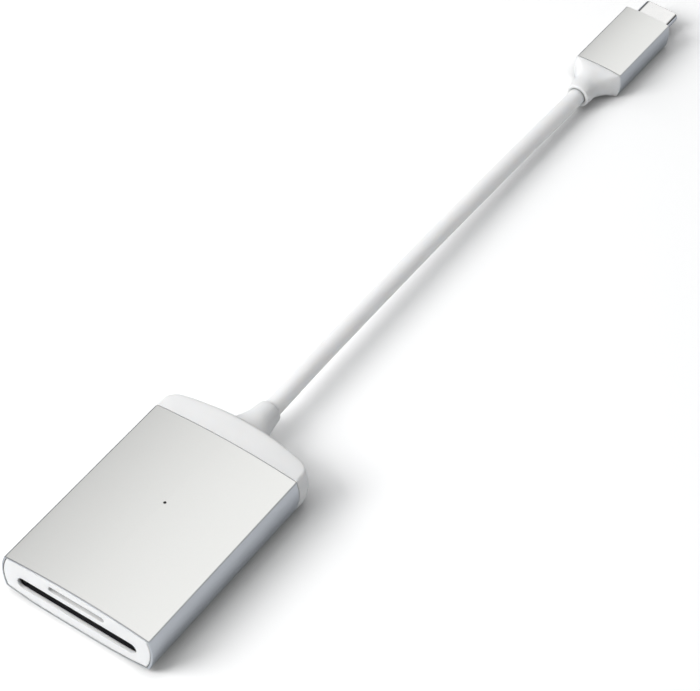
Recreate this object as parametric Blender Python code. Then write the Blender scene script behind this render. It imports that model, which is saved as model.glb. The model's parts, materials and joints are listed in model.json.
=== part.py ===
"""Pocket card reader: an extruded aluminium sleeve with a full-size SD slot and a microSD slot
in its white front bezel, a white rear cap that flares into a cable horn, and a short captive
lead with a USB-C plug dressed in the same way.

Units are metres, +Z is up and -Y is the slot face.  The origin is the middle of the reader's
footprint, on the surface that it stands on.  Inside the reader the script counts Y from the
front face, and inside the plug from the seam between its sleeve and its boot.
"""
import math

import bmesh
import bpy
import numpy as np
from mathutils import Vector

MM = 0.001

# ---------------------------------------------------------------- fits
FIT = 0.12 * MM            # snug fit between moulded, pressed and extruded pieces
GAP = 0.30 * MM            # loose fit, and the space left where pieces only meet

# ---------------------------------------------------------------- reader: outside
BODY_HALF_WIDTH = 16.1 * MM     # centre to the long edges
BODY_HALF_HEIGHT = 4.15 * MM    # centre to the long edges
BODY_CROWN = 0.95 * MM          # rise of the top and bottom faces between their edges
BODY_BULGE = 0.85 * MM          # swell of the side faces
BODY_LAND = 5.0 * MM            # half width of the flat strip that it stands on
BODY_EDGE = 0.35 * MM           # rounding of the four long edges
SLEEVE_LENGTH = 45.2 * MM
SLEEVE_WALL = 0.8 * MM
REBATE_LIP = 0.35 * MM          # wall left round the bezel
REBATE_DEPTH = 1.0 * MM
LED_Y = 26.3 * MM
LED_HOLE_RADIUS = 0.30 * MM

# ---------------------------------------------------------------- reader: rear cap and horn
CAP_LENGTH = 6.3 * MM           # seam to the cap's rear face
CAP_CORNER = 4.2 * MM           # plan radius of the rear corners
CAP_BOW = 2.0 * MM              # how far the rear face falls back towards the sides
CAP_TOP_ROUND = 0.9 * MM        # rounding from the top face into the rear face
CAP_EDGE = 0.9 * MM             # rounding of the long edges where they reach the rear face
CAP_CORNER_SWEEP = 84.0         # degrees of the corner arc before the rear face takes over
CAP_REAR_SWELL = 0.2 * MM       # rise of the rear face towards the horn
HORN_FOOT_HALF_WIDTH = 4.65 * MM
HORN_FOOT_DROP = 0.45 * MM      # the foot is this much lower than the rear face
HORN_LENGTH = 8.07 * MM         # from the swell to the collar's face
HORN_MIX = 0.49                 # how round the horn already is at its foot
HORN_FLARE = (1.82, 1.0, 0.66, 1.05 * MM, 0.62)     # power, flattening, reach, taper, turn
CAP_POCKET = 3.4 * MM           # how far the pocket reaches past the seam
CAP_SPIGOT = 3.0 * MM
SPIGOT_WALL = 0.9 * MM

# ---------------------------------------------------------------- reader: bezel and slots
BEZEL_PLATE = 0.7 * MM
BEZEL_FLANGE = 0.9 * MM
BEZEL_SPIGOT = 3.2 * MM
SD_SLOT_HEIGHT = 2.75 * MM
SD_SLOT_DROP = 0.88 * MM        # below the middle of the body
MICRO_SLOT_HEIGHT = 1.3 * MM
MICRO_SLOT_RISE = 2.32 * MM     # above the middle of the body
MICRO_TUNNEL = 1.5 * MM         # depth of the tunnel behind the microSD slot
TUNNEL_WALL = 0.5 * MM

# ---------------------------------------------------------------- lead
LEAD_DIAMETER = 3.74 * MM
LEAD_FIT = 0.12 * MM            # radial room for the lead in a collar
LEAD_ENTRY = 1.2 * MM           # how far the lead reaches into each collar
LEAD_SPAN = 114.53 * MM         # free lead between the two collars
LEAD_STRAIGHT = 4.0 * MM        # straight run outside each collar
LEAD_SPACING = 2.2 * LEAD_DIAMETER
COLLAR_WALL = 0.68 * MM         # horn and boot round the lead, before their rims round off
COLLAR_ROUND = 0.45 * MM

# ---------------------------------------------------------------- plug
PLUG_HALF_WIDTH = 5.4 * MM
PLUG_HALF_HEIGHT = 2.9 * MM
PLUG_CROWN = 0.3 * MM
PLUG_BULGE = 0.42 * MM
PLUG_LAND = 1.6 * MM
PLUG_EDGE = 0.25 * MM
PLUG_LENGTH = 20.9 * MM
PLUG_WALL = 0.45 * MM
BOOT_LENGTH = 8.5 * MM
BOOT_SHOULDER = 0.30 * MM       # stretch of full section before the boot flares
BOOT_ROUND = 0.30 * MM
BOOT_EDGE = 1.3 * MM            # rounding of the long edges where the flare has turned round
BOOT_FLARE = (2.0, 1.28, 0.70, 0.30 * MM, 0.58)     # as HORN_FLARE
SHELL_WIDTH = 8.25 * MM
SHELL_HEIGHT = 2.4 * MM
SHELL_WALL = 0.3 * MM
SHELL_REACH = 6.65 * MM         # proud of the plug's front face

BODY_LENGTH = SLEEVE_LENGTH + CAP_LENGTH + CAP_REAR_SWELL + HORN_LENGTH
BODY_Z = BODY_HALF_HEIGHT + BODY_CROWN
PLUG_Z = PLUG_HALF_HEIGHT + PLUG_CROWN

# ---------------------------------------------------------------- shared edges
SLEEVE_CHAMFER = 0.15           # share of the wall that is chamfered off at a sleeve's ends
SEAM = 0.08 * MM                # step and gap between a sleeve and a white end
BEZEL_ROUND = 0.10 * MM
SHARP_ANGLE = 28.0              # degrees; a sharper edge than this shows as a corner
CORNER_STEPS = 8
SWELL_STEPS = 3
HORN_RADIUS = LEAD_DIAMETER / 2 + COLLAR_WALL
HORN_STEPS = 12
BOOT_RADIUS = HORN_RADIUS + 0.17 * MM
BOOT_STEPS = 14
COLLAR_STEPS = 3
ROUTE_STEPS = 24                # fine steps between two points of a route

# ---------------------------------------------------------------- reader: tray and board
BOARD_MARGIN = 0.58 * MM        # board's edge to the sleeve's inside corner
LEDGE_REACH = 0.70 * MM         # tray's ledge under the board
SD_ROOF = 0.48 * MM             # socket moulding and room between a card and the board
BOARD_THICKNESS = 0.6 * MM
SHEET = 0.2 * MM                # socket shells
STRIP = 0.15 * MM               # SD contact strip
SD_CHANNEL_HEIGHT = 2.5 * MM
SD_SIDE_WALL = 1.1 * MM
SD_FLOOR = 0.45 * MM
SD_MOUTH_MARGIN = 1.22 * MM     # the slot is this much wider than the socket's channel, each side
SD_SLOT_Z = BODY_Z - SD_SLOT_DROP
MICRO_SLOT_Z = BODY_Z + MICRO_SLOT_RISE
BOARD_LOW = SD_SLOT_Z + SD_CHANNEL_HEIGHT / 2 + SD_ROOF
BOARD_TOP = BOARD_LOW + BOARD_THICKNESS
BOARD_HALF_WIDTH = BODY_HALF_WIDTH - SLEEVE_WALL - FIT - BOARD_MARGIN
BOARD_FRONT = 1.9 * MM
BOARD_REAR = SLEEVE_LENGTH - CAP_SPIGOT - 1.2 * MM
BOARD_CORNER = 1.0 * MM
BOARD_HOLE = 0.6 * MM           # radius of the two pegged holes
BOARD_HOLE_SIDE = 2.2 * MM      # hole's middle to the board's side
BOARD_HOLE_END = 2.5 * MM       # and to its rear end
TRAY_WALL = 0.8 * MM
TRAY_RIM = 2.0 * MM             # width of the tray's roof left at each side
TRAY_SOLE = 3.0 * MM            # the floor is cut away this far past the flat strip
TRAY_FRONT = BEZEL_FLANGE + BEZEL_SPIGOT + GAP
TRAY_REAR = SLEEVE_LENGTH - CAP_SPIGOT - 0.4 * MM
STRAP_WIDTH = 2.6 * MM
STRAP_TO_LED = 4.5 * MM
TRAY_STRAP = LED_Y - STRAP_TO_LED - STRAP_WIDTH     # where the middle strap starts
TRAY_LEDGE_INNER = BOARD_HALF_WIDTH - LEDGE_REACH
TRAY_LEDGE_LOW = BOARD_LOW - 0.85 * MM

# ---------------------------------------------------------------- SD socket
SOCKET_FRONT = BEZEL_PLATE + GAP
SD_DEPTH = 27.0 * MM
SD_SHELL_HALF = TRAY_LEDGE_INNER - GAP
SD_CHANNEL_HALF = SD_SHELL_HALF - SHEET - FIT - SD_SIDE_WALL
SD_SHELL_LOW = SD_SLOT_Z - SD_CHANNEL_HEIGHT / 2 - SD_FLOOR - FIT - SHEET
SD_SLOT_WIDTH = 2 * (SD_CHANNEL_HALF + SD_MOUTH_MARGIN)
SD_CONTACTS = 9
SD_PITCH = 2.5 * MM
SD_FINGER = 7.0 * MM
SD_FINGER_WIDTH = 0.8 * MM
SD_FINGER_SLOT = 7.6 * MM       # opening in the roof for each finger
SD_TAIL = 0.8 * MM              # solder tail behind the socket
SD_DIP = 0.45 * MM              # how far a finger hangs into the card's way
SD_BEND = 0.45                  # where a finger leaves the roof, and where it is lowest, as
SD_LOWEST = 0.88                # shares of its length from the rear
SD_LIFT = 0.4                   # share of the dip that is left at a finger's tip
SD_WINDOW = (3.0 * MM, 8.0 * MM, 0.8 * MM)      # width, length, corner
SD_WINDOW_Y = SOCKET_FRONT + 12.0 * MM
BLADE_FRONT = 14.0 * MM
BLADE_LENGTH = 8.0 * MM
BLADE_HEIGHT = 0.8 * MM
BLADE_POCKET = 0.75 * MM
BLADE_REACH = 0.15 * MM         # how far a blade's knee stands in the card's way
BLADE_ROOT = 2.5 * MM           # straight length at a blade's fixed end
BLADE_KNEE = 1.6 * MM           # knee to the free end
BLADE_TIP = 0.35 * MM           # free end to the pocket's wall

# ---------------------------------------------------------------- microSD socket
MICRO_FRONT = MICRO_TUNNEL + GAP
MICRO_DEPTH = 15.9 * MM
MICRO_REAR = MICRO_FRONT + MICRO_DEPTH
MICRO_CHANNEL_HALF = 5.75 * MM
MICRO_CHANNEL_HEIGHT = 0.95 * MM
MICRO_FLOOR_TOP = MICRO_SLOT_Z - MICRO_CHANNEL_HEIGHT / 2
MICRO_SLOT_WIDTH = 2 * MICRO_CHANNEL_HALF + 1.0 * MM
MICRO_WALL = 0.8 * MM
MICRO_CONTACTS = 8
MICRO_PITCH = 1.1 * MM
MICRO_FINGER = 5.0 * MM
MICRO_FINGER_WIDTH = 0.5 * MM
MICRO_FINGER_SLOT = 5.5 * MM
MICRO_STRIP = 0.10 * MM
MICRO_TAIL = 0.5 * MM
MICRO_RISE = 0.35 * MM          # how far a finger stands up into the card's way
MICRO_BEND = 0.42               # shares of a finger's length, as for the larger socket
MICRO_HIGHEST = 0.86
MICRO_LIFT = 0.35
MICRO_WINDOW = (5.0 * MM, 3.4 * MM, 0.6 * MM)
MICRO_WINDOW_PLACE = (-1.0 * MM, MICRO_FRONT + 6.0 * MM)
POST_LENGTH = 1.6 * MM
LANE_LEFT = MICRO_CHANNEL_HALF + 0.10 * MM
LANE_FIT = 0.06 * MM
SLIDER_TRAVEL = 3.9 * MM
SLIDER_FRONT = MICRO_FRONT + POST_LENGTH + 0.5 * MM
SLIDER_LENGTH = MICRO_REAR - MICRO_WALL - 0.5 * MM - SLIDER_TRAVEL - SLIDER_FRONT
SLIDER_WIDTH = 2.9 * MM
SLIDER_HEAD = 1.5 * MM
SLIDER_TOP = MICRO_FLOOR_TOP + 0.575 * MM
TRACK_WIDTH = 1.75 * MM
TOE_REACH = 1.35 * MM
TOE_DEPTH = 0.8 * MM
PIN_RADIUS = 0.11 * MM
PIN_FIT = 0.05 * MM
PIN_BEND = 1.6 * PIN_RADIUS     # bend radius at each hook
PIN_CUT = 0.3                   # share of the bend by which its middle point falls short
PIN_X = LANE_LEFT + LANE_FIT + 0.81 * MM
PIN_PIVOT_Y = MICRO_FRONT + POST_LENGTH / 2
PIN_LENGTH = SLIDER_FRONT + SLIDER_LENGTH - 2.7 * MM - PIN_PIVOT_Y
PIN_RUN_Z = SLIDER_TOP + 0.18 * MM
PIN_HOOK_LOW = SLIDER_TOP - 0.27 * MM
CAM_FLOOR = SLIDER_TOP - 0.32 * MM
CAM_SWING = 0.42 * MM
CAM_LANE = 0.55 * MM            # track's left wall to the pin's rest line
CAM_LANE_END = 0.43 * MM
CAM_TURN = 0.9 * MM             # length of the bend at the parking end
CAM_ISLAND = (                  # across from the rest line, and on from the parking end
    (-0.10 * MM, SLIDER_TRAVEL - 0.95 * MM),
    (-0.30 * MM, 1.40 * MM),
    (-0.26 * MM, 0.75 * MM),
    (-0.02 * MM, 1.05 * MM),
    (0.16 * MM, 0.85 * MM),
    (0.05 * MM, 1.90 * MM),
)
SPRING_RADIUS = 0.32 * MM
SPRING_WIRE = 0.07 * MM
SPRING_TURNS = 12
SPRING_STEPS = 8
MICRO_LEFT = -MICRO_CHANNEL_HALF - MICRO_WALL
MICRO_RIGHT = LANE_LEFT + SLIDER_WIDTH + 2 * LANE_FIT + MICRO_WALL
MICRO_ROOF = MICRO_SLOT_Z + MICRO_CHANNEL_HEIGHT / 2 + FIT

# ---------------------------------------------------------------- pieces on the board
CHIP_CORNER = 0.12 * MM
BOARD_MIDDLE = (MICRO_REAR + BOARD_REAR) / 2                     # of the free stretch
CONTROLLER = (7.0 * MM, 7.0 * MM, 0.9 * MM)                      # across, along, thick
CONTROLLER_PLACE = (-6.2 * MM, BOARD_MIDDLE + 1.1 * MM)
CONTROLLER_DOT = (0.35 * MM, 0.15 * MM, 0.9 * MM)                # radius, depth, from two sides
CRYSTAL = (3.2 * MM, 2.5 * MM, 0.8 * MM)
CRYSTAL_PLACE = (4.4 * MM, BOARD_MIDDLE + 1.8 * MM)
CRYSTAL_CORNER = 0.4 * MM
INDUCTOR = (3.0 * MM, 3.0 * MM, 1.2 * MM)
INDUCTOR_PLACE = (9.6 * MM, BOARD_MIDDLE + 1.6 * MM)
INDUCTOR_CORNER = 0.5 * MM
CAPACITORS = 3
CAPACITOR = (1.6 * MM, 0.8 * MM, 0.8 * MM)
CAPACITOR_PLACE = (7.0 * MM, BOARD_MIDDLE - 5.3 * MM)
CAPACITOR_PITCH = 1.8 * MM
LED = (1.6 * MM, 0.8 * MM, 0.5 * MM)
PIPE_FOOT = 0.8 * MM            # radius over the indicator, tapering to the neck
PIPE_NECK = 0.7 * MM
PIPE_FLANGE = (1.2 * MM, 0.5 * MM)                               # radius, thickness
PIPE_RECESS = 0.35 * MM         # tip below the sleeve's top

# ---------------------------------------------------------------- wires and anchors
WIRE_RADIUS = 0.27 * MM
WIRE_PITCH = 0.66 * MM          # in the lead
PAD_PITCH = 2.2 * MM            # on the board
PAD_SETBACK = 1.4 * MM
WIRE_SPACING = 0.75 * MM
ANCHOR_FLANGE = 0.9 * MM        # thickness, in the rear cap and in the boot
ANCHOR_SHOULDER = 1.3 * MM
ANCHOR_NECK = 1.6 * MM
ANCHOR_STEP = 0.15 * MM

# ---------------------------------------------------------------- plug: inside
BOOT_SPIGOT = 3.0 * MM
BOOT_POCKET = 0.1 * BOOT_LENGTH     # shallow, because the boot flares in behind it
PLUG_SPIGOT_WALL = 0.45 * MM
NOSE_RECESS = 0.15 * MM
NOSE_DEPTH = 2.4 * MM
NOSE_CHAMFER = 0.1 * MM
SHELL_TAIL = 6.0 * MM
SHELL_TIP = 0.18 * MM           # rounding of the steel shell's mouth
INSULATOR_FIT = 0.06 * MM
INSULATOR_SETBACK = 0.7 * MM
CAVITY_HALF = 3.42 * MM
CAVITY_HEIGHT = 0.9 * MM
COMB_THICKNESS = 0.12 * MM
COMB_BAR = 1.2 * MM             # strip that carries a row of contacts
COMB_SETBACK = 0.6 * MM
USB_CONTACTS = 12
USB_PITCH = 0.5 * MM
USB_FINGER = 0.24 * MM
LATCH_WIDTH = 0.25 * MM
LATCH_THICKNESS = 0.2 * MM
LATCH_SETBACK = 0.4 * MM
LATCH_HOOK = 0.18 * MM
LATCH_HOOK_LENGTH = 1.1 * MM
LATCH_HOOK_PEAK = 0.5 * MM
PLUG_BOARD_HALF = 3.9 * MM
PLUG_BOARD_THICKNESS = 0.8 * MM
PLUG_BOARD_CORNER = 0.5 * MM
PLUG_CHIP = (3.0 * MM, 3.0 * MM, 0.75 * MM)
PLUG_CHIP_SETBACK = 3.5 * MM

# ---------------------------------------------------------------- places
BODY_ORIGIN = BODY_LENGTH / 2
PLUG_PLACE = (0.0, BODY_LENGTH + LEAD_SPAN + BOOT_LENGTH - BODY_ORIGIN, 0.0)    # the plug's seam
PLUG_TURN = -0.7                                     # degrees
LEAD_ROUTE = (                  # across, beyond the reader's collar, above the surface
    (-0.3 * MM, 20.0 * MM, 5.0 * MM),
    (-0.5 * MM, 55.0 * MM, 4.5 * MM),
    (-0.4 * MM, 90.0 * MM, 3.7 * MM),
)


# ================================================================ looks
LOOKS = {                       # colour, roughness, metallic
    "aluminium": ((0.80, 0.81, 0.81), 0.34, 1.0),
    "white_plastic": ((0.86, 0.86, 0.86), 0.42, 0.0),
    "lead_rubber": ((0.84, 0.84, 0.84), 0.55, 0.0),
    "black_plastic": ((0.020, 0.020, 0.022), 0.45, 0.0),
    "steel": ((0.72, 0.72, 0.73), 0.22, 1.0),
    "gold": ((0.85, 0.62, 0.27), 0.25, 1.0),
    "circuit_board": ((0.015, 0.022, 0.060), 0.40, 0.0),
    "ceramic": ((0.45, 0.33, 0.22), 0.50, 0.0),
    "clear_plastic": ((0.82, 0.85, 0.86), 0.12, 0.0),
    "wire_red": ((0.55, 0.03, 0.03), 0.45, 0.0),
    "wire_black": ((0.02, 0.02, 0.02), 0.45, 0.0),
    "wire_green": ((0.03, 0.28, 0.08), 0.45, 0.0),
    "wire_white": ((0.80, 0.80, 0.78), 0.45, 0.0),
}


def clear_scene():
    for item in list(bpy.data.objects):
        bpy.data.objects.remove(item, do_unlink=True)


def material(name, look):
    colour, roughness, metallic = LOOKS[look]
    made = bpy.data.materials.new(name)
    made.use_nodes = True
    shader = made.node_tree.nodes["Principled BSDF"]
    shader.inputs["Base Color"].default_value = (*colour, 1.0)
    shader.inputs["Roughness"].default_value = roughness
    shader.inputs["Metallic"].default_value = metallic
    return made


def empty(name, location, turn=0.0):
    made = bpy.data.objects.new(name, None)
    made.location = location
    made.rotation_euler = (0.0, 0.0, turn)
    bpy.context.scene.collection.objects.link(made)
    return made


def place(name, data, parent, location):
    made = bpy.data.objects.new(name, data)
    made.parent = parent
    made.location = location
    bpy.context.scene.collection.objects.link(made)
    return made


def piece(name, bm, look, parent, location=(0.0, 0.0, 0.0), smooth=False):
    """Turn a bmesh, drawn in the parent's frame, into a named piece with its own material."""
    bmesh.ops.translate(bm, verts=bm.verts, vec=-Vector(location))
    mesh = bpy.data.meshes.new(name)
    bm.to_mesh(mesh)
    bm.free()
    if smooth:
        mesh.shade_smooth()
        mesh.set_sharp_from_angle(angle=math.radians(SHARP_ANGLE))
    mesh.materials.append(material(name, look))
    return place(name, mesh, parent, location)


def twin(name, source, look, offset):
    """Another copy of a repeated piece, sharing its mesh shape, moved by an offset."""
    mesh = source.data.copy()
    mesh.materials.clear()
    mesh.materials.append(material(name, look))
    return place(name, mesh, source.parent, Vector(source.location) + Vector(offset))


def boolean(target, bm, operation="DIFFERENCE"):
    """Cut a bmesh, drawn in the target's parent frame, out of the target, or join it on."""
    label = f"{target.name}_{operation.lower()}_{len(target.modifiers)}"
    mesh = bpy.data.meshes.new(label)
    bm.to_mesh(mesh)
    bm.free()
    tool = place(label, mesh, target.parent, (0.0, 0.0, 0.0))
    tool.hide_render = True
    tool.display_type = "WIRE"
    modifier = target.modifiers.new(label, "BOOLEAN")
    modifier.operation = operation
    modifier.object = tool
    return tool


# ================================================================ outlines
class Shape:
    """A crowned bar: flat-footed arcs above and below, bulged sides, rounded long edges."""
    TOP_STEPS = 14
    SIDE_STEPS = 6
    SHOULDER_STEPS = 4
    EDGE_STEPS = 3
    LEAST_EDGE = 0.3            # share of the rounding that an inset outline keeps

    def __init__(self, half_width, half_height, crown, bulge, land, edge, centre_z):
        self.half_width = half_width
        self.half_height = half_height
        self.crown = crown
        self.bulge = bulge
        self.land = land
        self.edge = edge
        self.centre_z = centre_z

    def top(self, x, inset=0.0):
        width = self.half_width - inset
        return self.half_height - inset + self.crown * (1.0 - (x / width) ** 2)

    def bottom(self, x, inset=0.0):
        run = max(abs(x) - self.land, 0.0) / (self.half_width - inset - self.land)
        return -(self.half_height - inset) - self.crown * (1.0 - run ** 2)

    def side(self, z, inset=0.0):
        height = self.half_height - inset
        return self.half_width - inset + self.bulge * (1.0 - (z / height) ** 2)

    def outline(self, inset=0.0, edge=None):
        """Points (x, z) about the bar's own centre, anticlockwise from the lower right."""
        width = self.half_width - inset
        height = self.half_height - inset
        edge = edge or max(self.edge - inset, self.LEAST_EDGE * self.edge)
        right = [(self.side(z, inset), z)
                 for z in np.linspace(-(height - edge), height - edge, self.SIDE_STEPS + 1)]
        top = [(x, self.top(x, inset))
               for x in np.linspace(width - edge, -(width - edge), self.TOP_STEPS + 1)]
        shoulder = np.linspace(self.land, width - edge, self.SHOULDER_STEPS + 1)
        bottom = [(x, self.bottom(x, inset)) for x in (*-shoulder[::-1], *shoulder)]
        left = [(-x, z) for x, z in reversed(right)]
        return (right + arc_corner(right[-1], (width, height), top[0], self.EDGE_STEPS)
                + top + arc_corner(top[-1], (-width, height), left[0], self.EDGE_STEPS)
                + left + arc_corner(left[-1], (-width, -height), bottom[0], self.EDGE_STEPS)
                + bottom + arc_corner(bottom[-1], (width, -height), right[0], self.EDGE_STEPS))

    def ring(self, y, inset=0.0):
        return [(x, y, z + self.centre_z) for x, z in self.outline(inset)]

    def morph(self, y, half_width, half_height, mix, edge=None):
        """The outline, with its own rounding of the edges, stretched and blended into an ellipse."""
        full_width = self.half_width + self.bulge
        full_height = self.half_height + self.crown
        points = []
        for x, z in self.outline(0.0, edge):
            across, up = x / full_width, z / full_height
            angle = math.atan2(up, across)
            across += mix * (math.cos(angle) - across)
            up += mix * (math.sin(angle) - up)
            points.append((half_width * across, y, half_height * up + self.centre_z))
        return points


def arc_corner(start, corner, end, steps):
    """Points between start and end, on the curve that a corner pulls round."""
    points = []
    for step in range(1, steps):
        t = step / steps
        points.append(tuple((1 - t) ** 2 * a + 2 * t * (1 - t) * b + t * t * c
                            for a, b, c in zip(start, corner, end)))
    return points


def rounded_outline(width, height, radius, steps=6, centre=(0.0, 0.0)):
    """A rectangle with round corners, anticlockwise; a stadium where the radius is half a side."""
    points = []
    for number, (sx, sy) in enumerate(((1, -1), (1, 1), (-1, 1), (-1, -1))):
        cx = centre[0] + sx * (width / 2 - radius)
        cy = centre[1] + sy * (height / 2 - radius)
        for step in range(steps + 1):
            angle = math.pi / 2 * (number - 1 + step / steps)
            points.append((cx + radius * math.cos(angle), cy + radius * math.sin(angle)))
    return unique(points)


def unique(points):
    kept = []
    for point in points:
        if all(math.dist(point, other) > 1e-7 for other in kept[-1:] + kept[:1]):
            kept.append(point)
    return kept


def thicken(path, thickness):
    """Closed outline of a bent strip: the path, and the path moved sideways by the thickness."""
    points = [Vector(p) for p in path]
    moved = []
    for index, point in enumerate(points):
        before = (point - points[index - 1]).normalized() if index else None
        after = (points[index + 1] - point).normalized() if index + 1 < len(points) else None
        ways = [way for way in (before, after) if way is not None]
        normals = [Vector((-way.y, way.x)) for way in ways]
        middle = sum(normals, Vector((0.0, 0.0))).normalized()
        moved.append(point + middle * (thickness / middle.dot(normals[0])))
    return [tuple(p) for p in points] + [tuple(p) for p in reversed(moved)]


# ================================================================ solids
def loft(rings, closed=False):
    """Skin a row of rings; a closed row joins its last ring to its first, an open one is capped."""
    bm = bmesh.new()
    rows = [[bm.verts.new(point) for point in ring] for ring in rings]
    count = len(rows[0])
    pairs = list(zip(rows, rows[1:]))
    if closed:
        pairs.append((rows[-1], rows[0]))
    for low, high in pairs:
        for index in range(count):
            after = (index + 1) % count
            bm.faces.new((low[index], low[after], high[after], high[index]))
    if not closed:
        bm.faces.new(rows[0])
        bm.faces.new(rows[-1])
    bmesh.ops.recalc_face_normals(bm, faces=bm.faces)
    return bm


def prism(outline, axis, low, high):
    """An outline in the two other axes, in X, Y, Z order, pushed along an axis."""
    slot = "XYZ".index(axis)
    return loft([[(*point[:slot], end, *point[slot:]) for point in outline] for end in (low, high)])


def box(x, y, z):
    """A block between the two limits given for each axis."""
    return prism([(x[0], y[0]), (x[1], y[0]), (x[1], y[1]), (x[0], y[1])], "Z", *z)


def turned(profile, axis, centre, steps=24):
    """Revolve (distance along the axis, radius) pairs about a line through the centre."""
    rings = []
    for along, radius in profile:
        ring = []
        for step in range(steps):
            angle = math.tau * step / steps
            a, b = radius * math.cos(angle), radius * math.sin(angle)
            if axis == "Y":
                ring.append((centre[0] + a, along, centre[1] + b))
            else:
                ring.append((centre[0] + a, centre[1] + b, along))
        rings.append(ring)
    return loft(rings)


def wire(name, points, radius, look, parent, location=(0.0, 0.0, 0.0), resolution=1):
    """A round wire along the points, with filled ends."""
    curve = bpy.data.curves.new(name, "CURVE")
    curve.dimensions = "3D"
    curve.bevel_depth = radius
    curve.bevel_resolution = resolution
    curve.use_fill_caps = True
    spline = curve.splines.new("POLY")
    spline.points.add(len(points) - 1)
    for target, point in zip(spline.points, points):
        target.co = (*(Vector(point) - Vector(location)), 1.0)
    spline.use_smooth = True
    curve.materials.append(material(name, look))
    return place(name, curve, parent, location)


def smooth_route(route, spacing):
    """Evenly spaced points on a Catmull-Rom curve through the route's points."""
    knots = [Vector(point) for point in route]
    knots = [2 * knots[0] - knots[1]] + knots + [2 * knots[-1] - knots[-2]]
    fine = []
    for p0, p1, p2, p3 in zip(knots, knots[1:], knots[2:], knots[3:]):
        for step in range(ROUTE_STEPS):
            t = step / ROUTE_STEPS
            fine.append(0.5 * (2 * p1 + (p2 - p0) * t + (2 * p0 - 5 * p1 + 4 * p2 - p3) * t ** 2
                               + (3 * p1 - p0 - 3 * p2 + p3) * t ** 3))
    fine.append(knots[-2])
    lengths = np.concatenate([[0.0], np.cumsum([(b - a).length for a, b in zip(fine, fine[1:])])])
    count = max(3, round(lengths[-1] / spacing) + 1)
    wanted = np.linspace(0.0, lengths[-1], count)
    columns = [np.interp(wanted, lengths, [point[axis] for point in fine]) for axis in range(3)]
    return [Vector(point) for point in zip(*columns)]


# ================================================================ the two shells
READER = Shape(BODY_HALF_WIDTH, BODY_HALF_HEIGHT, BODY_CROWN, BODY_BULGE, BODY_LAND, BODY_EDGE, BODY_Z)
PLUG = Shape(PLUG_HALF_WIDTH, PLUG_HALF_HEIGHT, PLUG_CROWN, PLUG_BULGE, PLUG_LAND, PLUG_EDGE, PLUG_Z)


def sleeve(name, shape, length, wall, parent, lip=None, rebate=0.0):
    """An extruded tube with bright chamfered ends; a lip leaves a rebate in its front mouth."""
    chamfer = SLEEVE_CHAMFER * wall
    rings = [
        shape.ring(0.0, chamfer),
        shape.ring(chamfer),
        shape.ring(length - chamfer),
        shape.ring(length, chamfer),
        shape.ring(length, wall),
    ]
    if lip:
        rings += [shape.ring(rebate, wall), shape.ring(rebate, lip), shape.ring(0.0, lip)]
    else:
        rings.append(shape.ring(0.0, wall))
    return piece(name, loft(rings, closed=True), "aluminium", parent, smooth=True)


def shell_pocket(shape, low, high, inset):
    return loft([shape.ring(low, inset), shape.ring(high, inset)])


def slot_cutter(width, height, z, low, high):
    return prism(rounded_outline(width, height, height / 2, centre=(0.0, z)), "Y", low, high)


def front_bezel(parent):
    """Plate, flange and spigot in one moulding, pierced by the two card slots."""
    lip = REBATE_LIP + FIT
    spigot = SLEEVE_WALL + FIT
    inside = spigot + SPIGOT_WALL
    end = BEZEL_FLANGE + BEZEL_SPIGOT
    rings = [
        READER.ring(0.0, lip + BEZEL_ROUND),
        READER.ring(BEZEL_ROUND, lip),
        READER.ring(BEZEL_FLANGE, lip),
        READER.ring(BEZEL_FLANGE, spigot),
        READER.ring(end, spigot),
    ]
    bezel = piece("front_bezel", loft(rings), "white_plastic", parent, smooth=True)
    boolean(bezel, shell_pocket(READER, BEZEL_PLATE, end + GAP, inside))
    tunnel = rounded_outline(MICRO_SLOT_WIDTH + 2 * TUNNEL_WALL, MICRO_SLOT_HEIGHT + 2 * TUNNEL_WALL,
                             TUNNEL_WALL, centre=(0.0, MICRO_SLOT_Z))
    boolean(bezel, prism(tunnel, "Y", BEZEL_PLATE / 2, MICRO_TUNNEL), "UNION")
    boolean(bezel, slot_cutter(SD_SLOT_WIDTH, SD_SLOT_HEIGHT, SD_SLOT_Z, -GAP, MICRO_TUNNEL + GAP))
    boolean(bezel, slot_cutter(MICRO_SLOT_WIDTH, MICRO_SLOT_HEIGHT, MICRO_SLOT_Z, -GAP, MICRO_TUNNEL + GAP))
    # the spigot leaves room for the SD socket's shell underneath and the microSD socket's above
    boolean(bezel, box((-SD_SHELL_HALF - GAP, SD_SHELL_HALF + GAP), (SOCKET_FRONT - GAP, end + GAP),
                       (-GAP, BODY_Z - GAP)))
    boolean(bezel, box((MICRO_LEFT - 2 * GAP, MICRO_RIGHT + 2 * GAP), (MICRO_FRONT - FIT, end + GAP),
                       (BODY_Z + GAP, MICRO_ROOF + SHEET + GAP)))
    return bezel


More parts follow.
